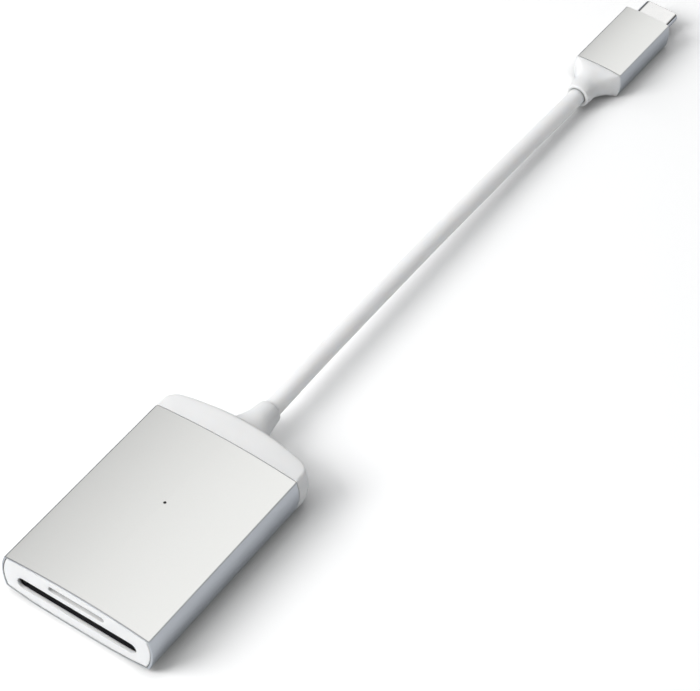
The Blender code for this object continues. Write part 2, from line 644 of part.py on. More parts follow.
def cap_rings():
    """Rear cap from its shoulder back: round plan corners, a rolled rear edge, then the horn."""
    full_width = BODY_HALF_WIDTH + BODY_BULGE
    full_height = BODY_HALF_HEIGHT + BODY_CROWN
    rear = SLEEVE_LENGTH + CAP_LENGTH
    sweep = math.radians(CAP_CORNER_SWEEP)
    corner_start = rear - CAP_CORNER * math.sin(sweep)
    rings = [READER.ring(SLEEVE_LENGTH + SEAM, SEAM), READER.ring(SLEEVE_LENGTH + 2 * SEAM)]
    for step in range(CORNER_STEPS + 1):
        turn = sweep * step / CORNER_STEPS
        y = corner_start + CAP_CORNER * math.sin(turn)
        width = full_width - CAP_CORNER * (1.0 - math.cos(turn))
        into_round = min(max((y - (rear - CAP_TOP_ROUND)) / CAP_TOP_ROUND, 0.0), 1.0)
        height = full_height - CAP_TOP_ROUND * (1.0 - math.sqrt(1.0 - into_round ** 2))
        along = (y - SLEEVE_LENGTH) / CAP_LENGTH
        edge = BODY_EDGE + (CAP_EDGE - BODY_EDGE) * along
        rings.append(bowed(READER.morph(y, width, height, 0.0, edge), along ** 3))
    rear_height = full_height - CAP_TOP_ROUND
    foot = (HORN_FOOT_HALF_WIDTH, rear_height - HORN_FOOT_DROP)
    for step in range(1, SWELL_STEPS + 1):
        u = step / SWELL_STEPS
        rings.append(bowed(READER.morph(rear + CAP_REAR_SWELL * u, width + (foot[0] - width) * u,
                                        rear_height - HORN_FOOT_DROP * u, HORN_MIX * u, CAP_EDGE), 1.0))
    rings += flare(READER, (rear + CAP_REAR_SWELL, BODY_LENGTH - COLLAR_ROUND), foot, HORN_RADIUS, HORN_MIX,
                   HORN_FLARE, HORN_STEPS, (CAP_EDGE, CAP_EDGE))[1:]
    return rings + rim(READER, BODY_LENGTH, HORN_RADIUS, COLLAR_ROUND)


def bowed(ring, share):
    """A ring of the rear cap drawn forward towards its sides."""
    reach = BODY_HALF_WIDTH + BODY_BULGE
    return [(x, y - CAP_BOW * share * (x / reach) ** 2, z) for x, y, z in ring]


def flare(shape, ends, first, radius, mix, form, steps, edges):
    """Rings that narrow from overall half sizes to a round collar: a quick flare, then a taper."""
    power, flattening, reach, taper, turn = form
    start, end = ends
    rings = []
    for step in range(steps + 1):
        u = step / steps
        fall = max(0.0, 1.0 - u / reach) ** power
        end_size = radius + taper * (1.0 - u)
        width = end_size + (first[0] - radius - taper) * fall
        height = end_size + (first[1] - radius - taper) * fall ** flattening
        roundness = mix + (1.0 - mix) * min(1.0, u / turn)
        edge = edges[0] + (edges[1] - edges[0]) * min(1.0, 2.0 * u / turn)
        rings.append(shape.morph(start + (end - start) * u, width, height, roundness, edge))
    return rings


def rim(shape, end, radius, rounding):
    """Rings that round a collar off into its end face; a negative rounding faces -Y."""
    rings = []
    for step in range(1, COLLAR_STEPS + 1):
        angle = math.pi / 2 * step / COLLAR_STEPS
        size = radius - abs(rounding) * (1.0 - math.cos(angle))
        rings.append(shape.morph(end - rounding * (1.0 - math.sin(angle)), size, size, 1.0))
    return rings


def spigot_rings(shape, low, high, inset):
    return [shape.ring(low, inset), shape.ring(high, inset)]


def rear_cap(parent):
    inset = SLEEVE_WALL + FIT
    start = SLEEVE_LENGTH - CAP_SPIGOT
    rings = spigot_rings(READER, start, SLEEVE_LENGTH + SEAM, inset) + cap_rings()
    cap = piece("rear_cap", loft(rings), "white_plastic", parent, smooth=True)
    pocket_end = SLEEVE_LENGTH + CAP_POCKET
    boolean(cap, shell_pocket(READER, start - GAP, pocket_end, inset + SPIGOT_WALL))
    bore = LEAD_DIAMETER / 2 + LEAD_FIT
    boolean(cap, turned([(pocket_end - GAP, bore), (BODY_LENGTH + GAP, bore)], "Y",
                        (0.0, BODY_Z)))
    return cap


# ================================================================ inside the reader
def inner_tray(parent):
    """Ring-section frame that slides into the sleeve and carries the circuit board on ledges."""
    outside = SLEEVE_WALL + FIT
    inside = outside + TRAY_WALL
    rings = [READER.ring(TRAY_FRONT, outside), READER.ring(TRAY_REAR, outside),
             READER.ring(TRAY_REAR, inside), READER.ring(TRAY_FRONT, inside)]
    tray = piece("inner_tray", loft(rings, closed=True), "black_plastic", parent)
    for side in (-1, 1):
        rail = sorted((side * TRAY_LEDGE_INNER, side * (READER.side(0.0, inside) + TRAY_WALL / 2)))
        boolean(tray, box(rail, (TRAY_FRONT, TRAY_REAR), (TRAY_LEDGE_LOW, BOARD_LOW - FIT)), "UNION")
    half = BOARD_HALF_WIDTH - TRAY_RIM
    rear_window = (TRAY_STRAP + STRAP_WIDTH, TRAY_REAR - STRAP_WIDTH)
    for window in ((TRAY_FRONT - GAP, TRAY_STRAP), rear_window):
        boolean(tray, box((-half, half), window, (BOARD_TOP, 2 * BODY_Z)))
    # the SD socket's shell reaches down between the tray's shoulders
    behind = SOCKET_FRONT + SD_DEPTH + GAP
    boolean(tray, box((-SD_SHELL_HALF - GAP, SD_SHELL_HALF + GAP), (TRAY_FRONT - GAP, behind),
                      (SD_SHELL_LOW - GAP, TRAY_LEDGE_LOW)))
    half = BODY_LAND + TRAY_SOLE
    for window in ((TRAY_FRONT + STRAP_WIDTH, TRAY_STRAP), rear_window):
        boolean(tray, box((-half, half), window, (-GAP, SD_SHELL_LOW)))
    return tray


def main_board(parent):
    outline = rounded_outline(2 * BOARD_HALF_WIDTH, BOARD_REAR - BOARD_FRONT, BOARD_CORNER, 3,
                              (0.0, (BOARD_REAR + BOARD_FRONT) / 2))
    board = piece("main_board", prism(outline, "Z", BOARD_LOW, BOARD_TOP), "circuit_board", parent)
    for x in (-BOARD_HALF_WIDTH + BOARD_HOLE_SIDE, BOARD_HALF_WIDTH - BOARD_HOLE_SIDE):
        hole = turned([(BOARD_LOW - GAP, BOARD_HOLE), (BOARD_TOP + GAP, BOARD_HOLE)], "Z",
                      (x, BOARD_REAR - BOARD_HOLE_END), 12)
        boolean(board, hole)
    return board


def sd_socket(parent):
    """Full-size card socket under the board: a moulded tunnel, a wrapped shell, nine fingers."""
    low = SD_SHELL_LOW + SHEET + FIT
    high = BOARD_LOW - FIT
    half = SD_CHANNEL_HALF + SD_SIDE_WALL
    rear = SOCKET_FRONT + SD_DEPTH
    base = piece("sd_base", box((-half, half), (SOCKET_FRONT, rear), (low, high)), "black_plastic", parent)
    channel_low = SD_SLOT_Z - SD_CHANNEL_HEIGHT / 2
    channel_high = SD_SLOT_Z + SD_CHANNEL_HEIGHT / 2
    boolean(base, box((-SD_CHANNEL_HALF, SD_CHANNEL_HALF), (SOCKET_FRONT - GAP, rear - SD_SIDE_WALL),
                      (channel_low, channel_high)))
    finger_z = channel_high + FIT
    slot_front = rear - SD_FINGER_SLOT
    first = -(SD_CONTACTS - 1) / 2 * SD_PITCH
    for number in range(SD_CONTACTS):
        x = first + number * SD_PITCH
        half_slot = SD_FINGER_WIDTH / 2 + FIT
        boolean(base, box((x - half_slot, x + half_slot), (slot_front, rear + GAP),
                          (channel_high - GAP, high + GAP)))
    # a side pocket for each of the two sensing blades
    for side in (-1, 1):
        span = sorted((side * (SD_CHANNEL_HALF - GAP), side * (SD_CHANNEL_HALF + BLADE_POCKET)))
        boolean(base, box(span, (BLADE_FRONT - GAP, BLADE_FRONT + BLADE_LENGTH + GAP),
                          (SD_SLOT_Z - BLADE_HEIGHT / 2 - FIT, SD_SLOT_Z + BLADE_HEIGHT / 2 + FIT)))

    outer = SD_SHELL_HALF
    inner = SD_SHELL_HALF - SHEET
    outline = [(-outer, high), (-outer, SD_SHELL_LOW), (outer, SD_SHELL_LOW), (outer, high), (inner, high),
               (inner, SD_SHELL_LOW + SHEET), (-inner, SD_SHELL_LOW + SHEET), (-inner, high)]
    cover = piece("sd_shell", prism(outline, "Y", SOCKET_FRONT + FIT, rear - SD_SIDE_WALL), "steel", parent)
    for x in (-SD_CHANNEL_HALF / 2, SD_CHANNEL_HALF / 2):
        window = rounded_outline(*SD_WINDOW, 3, (x, SD_WINDOW_Y))
        boolean(cover, prism(window, "Z", SD_SHELL_LOW - GAP, SD_SHELL_LOW + SHEET + FIT / 2))

    path = [(rear + SD_TAIL, finger_z), (rear - SD_BEND * SD_FINGER, finger_z),
            (rear - SD_LOWEST * SD_FINGER, channel_high - SD_DIP),
            (rear - SD_FINGER, channel_high - SD_LIFT * SD_DIP)]
    strip = prism(thicken(path, -STRIP), "X", first - SD_FINGER_WIDTH / 2, first + SD_FINGER_WIDTH / 2)
    finger = piece("sd_contact_1", strip, "gold", parent)
    for number in range(1, SD_CONTACTS):
        twin(f"sd_contact_{number + 1}", finger, "gold", (number * SD_PITCH, 0.0, 0.0))

    for side, name in ((-1, "card_detect_blade"), (1, "write_protect_blade")):
        outer = side * (SD_CHANNEL_HALF + BLADE_POCKET - FIT)
        inner = side * (SD_CHANNEL_HALF - BLADE_REACH)
        root = BLADE_FRONT + BLADE_LENGTH
        path = [(outer, root), (outer, root - BLADE_ROOT), (inner, BLADE_FRONT + BLADE_KNEE),
                (outer - side * BLADE_TIP, BLADE_FRONT)]
        blade = prism(thicken(path, -side * STRIP), "Z",
                      SD_SLOT_Z - BLADE_HEIGHT / 2, SD_SLOT_Z + BLADE_HEIGHT / 2)
        piece(name, blade, "gold", parent)


def micro_socket(parent):
    """Push-push microSD socket on top of the board, with its slider, spring and cam pin."""
    floor_low = BOARD_TOP + FIT
    floor_top = MICRO_SLOT_Z - MICRO_CHANNEL_HEIGHT / 2
    wall_top = floor_top + MICRO_CHANNEL_HEIGHT
    left, right = MICRO_LEFT, MICRO_RIGHT
    lane_right = LANE_LEFT + SLIDER_WIDTH + 2 * LANE_FIT
    rear = MICRO_FRONT + MICRO_DEPTH
    pocket_rear = rear - MICRO_WALL

    base = piece("micro_base", box((left, right), (MICRO_FRONT, rear), (floor_low, wall_top)),
                 "black_plastic", parent)
    boolean(base, box((-MICRO_CHANNEL_HALF, LANE_LEFT), (MICRO_FRONT - GAP, pocket_rear),
                      (floor_top, wall_top + GAP)))
    boolean(base, box((LANE_LEFT - GAP, lane_right), (MICRO_FRONT + POST_LENGTH, pocket_rear),
                      (floor_top, wall_top + GAP)))
    # the pivot post in front of the slider is low enough for the cam pin to lie over it
    boolean(base, box((LANE_LEFT - GAP, lane_right), (MICRO_FRONT - GAP, MICRO_FRONT + POST_LENGTH + GAP),
                      (SLIDER_TOP, wall_top + GAP)))
    boolean(base, turned([(PIN_HOOK_LOW - FIT, PIN_RADIUS + PIN_FIT), (wall_top, PIN_RADIUS + PIN_FIT)], "Z",
                         (PIN_X, PIN_PIVOT_Y), 12))
    first = -(MICRO_CONTACTS - 1) / 2 * MICRO_PITCH
    half_slot = MICRO_FINGER_WIDTH / 2 + FIT
    slot_front = rear - MICRO_FINGER_SLOT
    for number in range(MICRO_CONTACTS):
        x = first + number * MICRO_PITCH
        boolean(base, box((x - half_slot, x + half_slot), (slot_front, rear + GAP),
                          (floor_low - GAP, floor_top + FIT)))

    path = [(rear + MICRO_TAIL, floor_low), (rear - MICRO_BEND * MICRO_FINGER, floor_low),
            (rear - MICRO_HIGHEST * MICRO_FINGER, floor_top + MICRO_RISE),
            (rear - MICRO_FINGER, floor_top + MICRO_LIFT * MICRO_RISE)]
    strip = prism(thicken(path, -MICRO_STRIP), "X", first - MICRO_FINGER_WIDTH / 2,
                  first + MICRO_FINGER_WIDTH / 2)
    finger = piece("micro_contact_1", strip, "gold", parent)
    for number in range(1, MICRO_CONTACTS):
        twin(f"micro_contact_{number + 1}", finger, "gold", (number * MICRO_PITCH, 0.0, 0.0))

    roof = MICRO_ROOF
    outer_left, outer_right = left - FIT - SHEET, right + FIT + SHEET
    outline = [(outer_left, floor_low), (outer_left + SHEET, floor_low), (outer_left + SHEET, roof),
               (outer_right - SHEET, roof), (outer_right - SHEET, floor_low), (outer_right, floor_low),
               (outer_right, roof + SHEET), (outer_left, roof + SHEET)]
    cover = piece("micro_shell", prism(outline, "Y", MICRO_FRONT + FIT, rear - FIT), "steel", parent)
    window = rounded_outline(*MICRO_WINDOW, 3, MICRO_WINDOW_PLACE)
    boolean(cover, prism(window, "Z", roof - GAP / 2, roof + SHEET + GAP))

    micro_slider(parent, floor_top, lane_right)
    cam_pin(parent)
    slider_step = SLIDER_FRONT + SLIDER_HEAD
    coil_spring(parent, lane_right - LANE_FIT - SPRING_RADIUS - SPRING_WIRE, slider_step + FIT,
                pocket_rear - FIT, floor_top)


def micro_slider(parent, floor_top, lane_right):
    """The sliding carriage: a head across the lane, a cam track, and a toe that the card pushes."""
    left = LANE_LEFT + LANE_FIT
    right = lane_right - LANE_FIT
    rear = SLIDER_FRONT + SLIDER_LENGTH
    track_right = left + TRACK_WIDTH
    outline = [
        (left, SLIDER_FRONT), (right, SLIDER_FRONT), (right, SLIDER_FRONT + SLIDER_HEAD),
        (track_right, SLIDER_FRONT + SLIDER_HEAD), (track_right, rear), (left - TOE_REACH, rear),
        (left - TOE_REACH, rear - TOE_DEPTH), (left, rear - TOE_DEPTH),
    ]
    carriage = prism(outline, "Z", floor_top + PIN_FIT, SLIDER_TOP)
    corner = (left, SLIDER_FRONT, floor_top + PIN_FIT)
    slider = piece("micro_slider", carriage, "white_plastic", parent, corner)
    # heart-shaped cam recess, seen from above: entry at the rear, parking notch at the front
    tip_y = PIN_PIVOT_Y + PIN_LENGTH
    end_y = tip_y - SLIDER_TRAVEL
    reach = PIN_RADIUS + PIN_FIT
    parked = PIN_X + CAM_SWING + 2 * reach
    track = [
        (PIN_X - reach, tip_y + 2 * reach), (PIN_X - CAM_LANE, end_y + CAM_TURN),
        (PIN_X - CAM_LANE_END, end_y - reach), (parked - reach, end_y - 2 * reach),
        (parked, end_y + reach), (PIN_X + 2 * reach, tip_y + 2 * reach),
    ]
    boolean(slider, prism(track, "Z", CAM_FLOOR, SLIDER_TOP + GAP))
    island = [(PIN_X + across, end_y + along) for across, along in CAM_ISLAND]
    boolean(slider, prism(island, "Z", CAM_FLOOR - FIT, SLIDER_TOP), "UNION")
    return slider


def cam_pin(parent):
    """Bent wire link: one hook turns in the base's post, the other rides in the cam track."""
    pivot = (PIN_X, PIN_PIVOT_Y, PIN_RUN_Z)
    tip_y = PIN_PIVOT_Y + PIN_LENGTH
    cut = PIN_CUT * PIN_BEND
    points = [
        (PIN_X, PIN_PIVOT_Y, PIN_HOOK_LOW), (PIN_X, PIN_PIVOT_Y, PIN_RUN_Z - PIN_BEND),
        (PIN_X, PIN_PIVOT_Y + cut, PIN_RUN_Z - cut), (PIN_X, PIN_PIVOT_Y + PIN_BEND, PIN_RUN_Z),
        (PIN_X, tip_y - PIN_BEND, PIN_RUN_Z), (PIN_X, tip_y - cut, PIN_RUN_Z - cut),
        (PIN_X, tip_y, PIN_RUN_Z - PIN_BEND), (PIN_X, tip_y, CAM_FLOOR + FIT),
    ]
    return wire("cam_pin", points, PIN_RADIUS, "steel", parent, pivot, 2)


def coil_spring(parent, x, low, high, floor_top):
    """Compression spring beside the track, between the slider's head and the base's rear wall."""
    z = floor_top + LANE_FIT + SPRING_RADIUS + SPRING_WIRE
    points = []
    steps = SPRING_TURNS * SPRING_STEPS
    run = high - low - 2 * SPRING_WIRE
    for step in range(steps + 1):
        angle = math.tau * step / SPRING_STEPS
        points.append((x + SPRING_RADIUS * math.cos(angle), low + SPRING_WIRE + run * step / steps,
                       z + SPRING_RADIUS * math.sin(angle)))
    return wire("eject_spring", points, SPRING_WIRE, "steel", parent)


def board_pieces(parent):
    """Controller, clock, indicator and the small parts on the top of the board."""
    foot = BOARD_TOP + FIT

    def chip(name, size, middle, look, corner=CHIP_CORNER):
        outline = rounded_outline(size[0], size[1], corner, 2, middle)
        return piece(name, prism(outline, "Z", foot, foot + size[2]), look, parent)

    controller = chip("controller_chip", CONTROLLER, CONTROLLER_PLACE, "black_plastic")
    radius, depth, margin = CONTROLLER_DOT
    top = foot + CONTROLLER[2]
    corner = (CONTROLLER_PLACE[0] - CONTROLLER[0] / 2 + margin,
              CONTROLLER_PLACE[1] + CONTROLLER[1] / 2 - margin)
    boolean(controller, turned([(top - depth, radius), (top + GAP, radius)], "Z", corner, 12))
    chip("clock_crystal", CRYSTAL, CRYSTAL_PLACE, "steel", CRYSTAL_CORNER)
    chip("inductor", INDUCTOR, INDUCTOR_PLACE, "black_plastic", INDUCTOR_CORNER)
    for number in range(CAPACITORS):
        middle = (CAPACITOR_PLACE[0], CAPACITOR_PLACE[1] + number * CAPACITOR_PITCH)
        chip(f"capacitor_{number + 1}", CAPACITOR, middle, "ceramic")
    chip("led_chip", LED, (0.0, LED_Y), "clear_plastic")

    ceiling = BODY_Z + READER.top(0.0, SLEEVE_WALL) - FIT
    flange_radius, flange_thickness = PIPE_FLANGE
    flange = ceiling - flange_thickness
    tip = LED_HOLE_RADIUS - FIT
    profile = [(foot + LED[2] + FIT, PIPE_FOOT), (flange, PIPE_NECK), (flange, flange_radius),
               (ceiling, flange_radius), (ceiling, tip), (2 * BODY_Z - PIPE_RECESS, tip)]
    piece("light_pipe", turned(profile, "Z", (0.0, LED_Y), 16), "clear_plastic", parent, smooth=True)


def lead_anchor(parent, face, bore_end, flange):
    """Overmoulded stub of the lead: a flange in front of the bore, and a stem that fills it."""
    stem = LEAD_DIAMETER / 2 - FIT
    profile = [(face - ANCHOR_NECK, stem - ANCHOR_STEP), (face - ANCHOR_SHOULDER, stem),
               (face - ANCHOR_FLANGE, stem), (face - ANCHOR_FLANGE, flange), (face - FIT, flange),
               (face - FIT, stem), (bore_end, stem)]
    piece("lead_anchor", turned(profile, "Y", (0.0, BODY_Z), 20), "white_plastic", parent, smooth=True)


def reader_wiring(parent):
    face = SLEEVE_LENGTH + CAP_POCKET
    flange = READER.top(0.0, SLEEVE_WALL + FIT + SPIGOT_WALL) - GAP
    lead_anchor(parent, face, BODY_LENGTH - LEAD_ENTRY - GAP, flange)
    start_y = face - ANCHOR_NECK - GAP
    pad_z = BOARD_TOP + WIRE_RADIUS + FIT
    looks = ("wire_red", "wire_white", "wire_green", "wire_black")
    for number, look in enumerate(looks):
        row = number - (len(looks) - 1) / 2
        fan = row * WIRE_PITCH
        pad = row * PAD_PITCH
        route = [
            (fan, start_y, BODY_Z),
            (1.2 * fan, start_y - 3 * GAP, BODY_Z + GAP),
            (0.8 * pad, BOARD_REAR + 4 * GAP, pad_z + GAP / 2),
            (pad, BOARD_REAR - GAP / 2, pad_z + GAP / 6),
            (pad, BOARD_REAR - PAD_SETBACK, pad_z),
        ]
        wire(f"wire_{number + 1}", smooth_route(route, WIRE_SPACING), WIRE_RADIUS, look, parent)


# ================================================================ plug
def stadium(width, height, y, inset=0.0):
    outline = rounded_outline(width - 2 * inset, height - 2 * inset, height / 2 - inset, 7)
    return [(x, y, PLUG_Z + z) for x, z in outline]


def plug_boot(parent):
    """Rear end of the plug: full section at the seam, flaring down to a round collar."""
    inset = PLUG_WALL + FIT
    full = (PLUG_HALF_WIDTH + PLUG_BULGE, PLUG_HALF_HEIGHT + PLUG_CROWN)
    rings = rim(PLUG, -BOOT_LENGTH, BOOT_RADIUS, -BOOT_ROUND)[::-1]
    rings += flare(PLUG, (-BOOT_SHOULDER, BOOT_ROUND - BOOT_LENGTH), full, BOOT_RADIUS, 0.0, BOOT_FLARE,
                   BOOT_STEPS, (PLUG_EDGE, BOOT_EDGE))[::-1]
    rings += [PLUG.ring(-2 * SEAM), PLUG.ring(-SEAM, SEAM)]
    rings += spigot_rings(PLUG, -SEAM, BOOT_SPIGOT, inset)
    boot = piece("plug_boot", loft(rings), "white_plastic", parent, smooth=True)
    boolean(boot, shell_pocket(PLUG, -BOOT_POCKET, BOOT_SPIGOT + GAP, inset + PLUG_SPIGOT_WALL))
    bore = LEAD_DIAMETER / 2 + LEAD_FIT
    boolean(boot, turned([(-BOOT_LENGTH - 2 * GAP, bore), (-BOOT_POCKET + GAP, bore)], "Y", (0.0, PLUG_Z)))
    face = -BOOT_POCKET
    flange = PLUG.top(0.0, inset + PLUG_SPIGOT_WALL) - FIT
    stem = min(LEAD_DIAMETER / 2 - FIT, flange - FIT)
    neck = stem - 2 * ANCHOR_STEP
    profile = [(LEAD_ENTRY + GAP - BOOT_LENGTH, stem), (face + FIT, stem), (face + FIT, flange),
               (face + ANCHOR_FLANGE, flange), (face + ANCHOR_FLANGE, neck), (face + ANCHOR_NECK, neck)]
    piece("plug_lead_anchor", turned(profile, "Y", (0.0, PLUG_Z), 20), "white_plastic", parent, smooth=True)


def plug_nose(parent):
    inset = PLUG_WALL + FIT
    front = PLUG_LENGTH - NOSE_RECESS
    rings = [PLUG.ring(front - NOSE_DEPTH, inset), PLUG.ring(front - NOSE_CHAMFER, inset),
             PLUG.ring(front, inset + NOSE_CHAMFER)]
    nose = piece("plug_nose", loft(rings), "white_plastic", parent, smooth=True)
    ends = (front - NOSE_DEPTH - GAP, front + GAP)
    hole = loft([stadium(SHELL_WIDTH, SHELL_HEIGHT, y, -FIT / 2) for y in ends])
    boolean(nose, hole)


def usb_c_plug(parent):
    """Drawn steel shell, its insulator with the tongue cavity, two contact combs and the latches."""
    mouth = PLUG_LENGTH + SHELL_REACH
    back = PLUG_LENGTH - SHELL_TAIL
    tip = SHELL_TIP * (1.0 - math.sqrt(0.5))
    ends = [(back, 0.0), (mouth - SHELL_TIP, 0.0), (mouth - tip, tip), (mouth, SHELL_TIP),
            (mouth, SHELL_WALL), (back, SHELL_WALL)]
    rings = [stadium(SHELL_WIDTH, SHELL_HEIGHT, y, inset) for y, inset in ends]
    piece("usb_c_shell", loft(rings, closed=True), "steel", parent, smooth=True)

    inset = SHELL_WALL + INSULATOR_FIT
    front = mouth - INSULATOR_SETBACK
    rings = [stadium(SHELL_WIDTH, SHELL_HEIGHT, y, inset) for y in (back + GAP, front)]
    insulator = piece("usb_c_insulator", loft(rings), "black_plastic", parent, smooth=True)
    boolean(insulator, box((-CAVITY_HALF, CAVITY_HALF), (back, mouth),
                           (PLUG_Z - CAVITY_HEIGHT / 2, PLUG_Z + CAVITY_HEIGHT / 2)))

    bar_rear = back + GAP
    bar_front = bar_rear + COMB_BAR
    comb = contact_comb(bar_rear, bar_front, front - COMB_SETBACK)
    outer = CAVITY_HEIGHT / 2 - INSULATOR_FIT
    upper = piece("usb_c_contacts_upper",
                  prism(comb, "Z", PLUG_Z + outer - COMB_THICKNESS, PLUG_Z + outer), "gold", parent)
    twin("usb_c_contacts_lower", upper, "gold", (0.0, 0.0, -2 * outer + COMB_THICKNESS))

    arm = CAVITY_HALF - INSULATOR_FIT
    arm_front = front - LATCH_SETBACK
    inside = arm - LATCH_WIDTH
    right = [
        (arm, bar_rear), (arm, arm_front), (inside, arm_front),
        (inside - LATCH_HOOK, arm_front - LATCH_HOOK_PEAK), (inside, arm_front - LATCH_HOOK_LENGTH),
        (inside, bar_front),
    ]
    outline = right + [(-x, y) for x, y in reversed(right)]
    half = LATCH_THICKNESS / 2
    piece("usb_c_latch_plate", prism(outline, "Z", PLUG_Z - half, PLUG_Z + half), "steel", parent)

    board_front = back - GAP
    board_rear = BOOT_SPIGOT + GAP
    outline = rounded_outline(2 * PLUG_BOARD_HALF, board_front - board_rear, PLUG_BOARD_CORNER, 2,
                              (0.0, (board_front + board_rear) / 2))
    half = PLUG_BOARD_THICKNESS / 2
    piece("plug_board", prism(outline, "Z", PLUG_Z - half, PLUG_Z + half), "circuit_board", parent)
    chip = rounded_outline(PLUG_CHIP[0], PLUG_CHIP[1], CHIP_CORNER, 2, (0.0, board_front - PLUG_CHIP_SETBACK))
    foot = PLUG_Z + half + FIT
    piece("plug_chip", prism(chip, "Z", foot, foot + PLUG_CHIP[2]), "black_plastic", parent)


def contact_comb(rear, bar_front, tip):
    """Outline of one row of contacts: twelve fingers on the strip that carries them."""
    half = (USB_CONTACTS - 1) / 2 * USB_PITCH + USB_FINGER / 2
    outline = [(-half, rear), (half, rear)]
    for number in reversed(range(USB_CONTACTS)):
        x = (number - (USB_CONTACTS - 1) / 2) * USB_PITCH
        outline += [(x + USB_FINGER / 2, bar_front), (x + USB_FINGER / 2, tip),
                    (x - USB_FINGER / 2, tip), (x - USB_FINGER / 2, bar_front)]
    return unique(outline)


# ================================================================ lead
def lead(parent_reader, parent_plug):
    """The free lead, from inside the reader's collar to inside the plug's."""
    start = parent_reader.matrix_world @ Vector((0.0, BODY_LENGTH - LEAD_ENTRY, BODY_Z))
    end = parent_plug.matrix_world @ Vector((0.0, LEAD_ENTRY - BOOT_LENGTH, PLUG_Z))
    toward_plug = parent_plug.matrix_world.to_3x3() @ Vector((0.0, -LEAD_STRAIGHT, 0.0))
    collar = parent_reader.matrix_world @ Vector((0.0, BODY_LENGTH, 0.0))
    middle = [collar + Vector(point) for point in LEAD_ROUTE]
    route = [start, start + Vector((0.0, LEAD_STRAIGHT, 0.0)), *middle, end + toward_plug, end]
    wire("lead", smooth_route(route, LEAD_SPACING), LEAD_DIAMETER / 2, "lead_rubber", None, resolution=2)


def main():
    clear_scene()
    reader = empty("reader_frame", (0.0, -BODY_ORIGIN, 0.0))
    plug = empty("plug_frame", PLUG_PLACE, math.radians(PLUG_TURN))
    bpy.context.view_layer.update()

    body = sleeve("housing_sleeve", READER, SLEEVE_LENGTH, SLEEVE_WALL, reader, REBATE_LIP, REBATE_DEPTH)
    pinhole = [(BODY_Z, LED_HOLE_RADIUS), (2 * BODY_Z + GAP, LED_HOLE_RADIUS)]
    boolean(body, turned(pinhole, "Z", (0.0, LED_Y), 16))
    front_bezel(reader)
    rear_cap(reader)
    inner_tray(reader)
    main_board(reader)
    sd_socket(reader)
    micro_socket(reader)
    board_pieces(reader)
    reader_wiring(reader)

    sleeve("plug_sleeve", PLUG, PLUG_LENGTH, PLUG_WALL, plug)
    plug_boot(plug)
    plug_nose(plug)
    usb_c_plug(plug)
    lead(reader, plug)


main()
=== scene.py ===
"""Looks of a pocket USB-C card reader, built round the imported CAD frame."""
import json
import math

import bmesh
import bpy
from mathutils import Matrix, Vector

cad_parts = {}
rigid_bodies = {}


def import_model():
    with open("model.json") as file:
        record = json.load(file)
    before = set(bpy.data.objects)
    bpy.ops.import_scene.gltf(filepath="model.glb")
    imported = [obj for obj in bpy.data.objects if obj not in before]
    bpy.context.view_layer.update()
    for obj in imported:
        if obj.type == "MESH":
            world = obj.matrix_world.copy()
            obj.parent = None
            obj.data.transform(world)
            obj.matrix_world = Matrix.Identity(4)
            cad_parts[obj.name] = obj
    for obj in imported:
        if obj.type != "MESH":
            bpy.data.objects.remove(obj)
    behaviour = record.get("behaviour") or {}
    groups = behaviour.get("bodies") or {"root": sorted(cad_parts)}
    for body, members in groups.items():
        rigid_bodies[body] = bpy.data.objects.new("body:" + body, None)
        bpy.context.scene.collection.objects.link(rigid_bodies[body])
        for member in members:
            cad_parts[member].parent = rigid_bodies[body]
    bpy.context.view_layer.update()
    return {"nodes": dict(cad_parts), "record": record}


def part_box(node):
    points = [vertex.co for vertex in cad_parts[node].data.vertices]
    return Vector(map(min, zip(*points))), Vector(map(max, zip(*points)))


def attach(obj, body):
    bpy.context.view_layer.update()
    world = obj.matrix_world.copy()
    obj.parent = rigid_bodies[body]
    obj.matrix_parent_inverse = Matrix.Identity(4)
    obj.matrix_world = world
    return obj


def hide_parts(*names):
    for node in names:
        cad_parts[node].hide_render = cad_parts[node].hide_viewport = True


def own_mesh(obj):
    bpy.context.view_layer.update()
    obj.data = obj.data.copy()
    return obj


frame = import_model()

MM = 0.001

# ---------------------------------------------------------------- camera
CAMERA_AZIMUTH = math.radians(31.289)
CAMERA_ELEVATION = math.radians(47.017)
CAMERA_ROLL = math.radians(3.93)
CAMERA_PLACE = Vector((0.190498, -0.256086, 0.393086))
CAMERA_LENS = 139.81
SENSOR_WIDTH = 36.0
CLIP_NEAR = 0.01

# ---------------------------------------------------------------- lead
LEAD_DIAMETER = 3.74 * MM
LEAD_ENTRY = 1.2 * MM           # how far the lead reaches into each collar
LEAD_STRAIGHT = 4.0 * MM        # straight run at each end
READER_AXIS = 5.1 * MM
PLUG_AXIS = 3.2 * MM
PLUG_TURN = math.radians(-0.7)
BOOT_LENGTH = 8.5 * MM
LEAD_KNOTS = (                  # across, beyond the reader's collar, above the surface
    (-0.3 * MM, 20.0 * MM, 5.0 * MM),
    (-0.5 * MM, 55.0 * MM, 4.5 * MM),
    (-0.4 * MM, 90.0 * MM, 3.7 * MM),
)
LEAD_SPACING = 4.6 * MM
LEAD_BEVEL_STEPS = 10           # 4 sides, and 2 more for each step
LEAD_STEPS = 6                  # along it, between two points
ROUTE_STEPS = 40                # samples between two knots, to space the points evenly

# ---------------------------------------------------------------- ejector spring
SPRING_WIRE = 0.07 * MM         # radius
SPRING_TURNS = 12
SPRING_STEPS = 20               # rings in a turn
SPRING_SIDES = 8                # corners of a ring

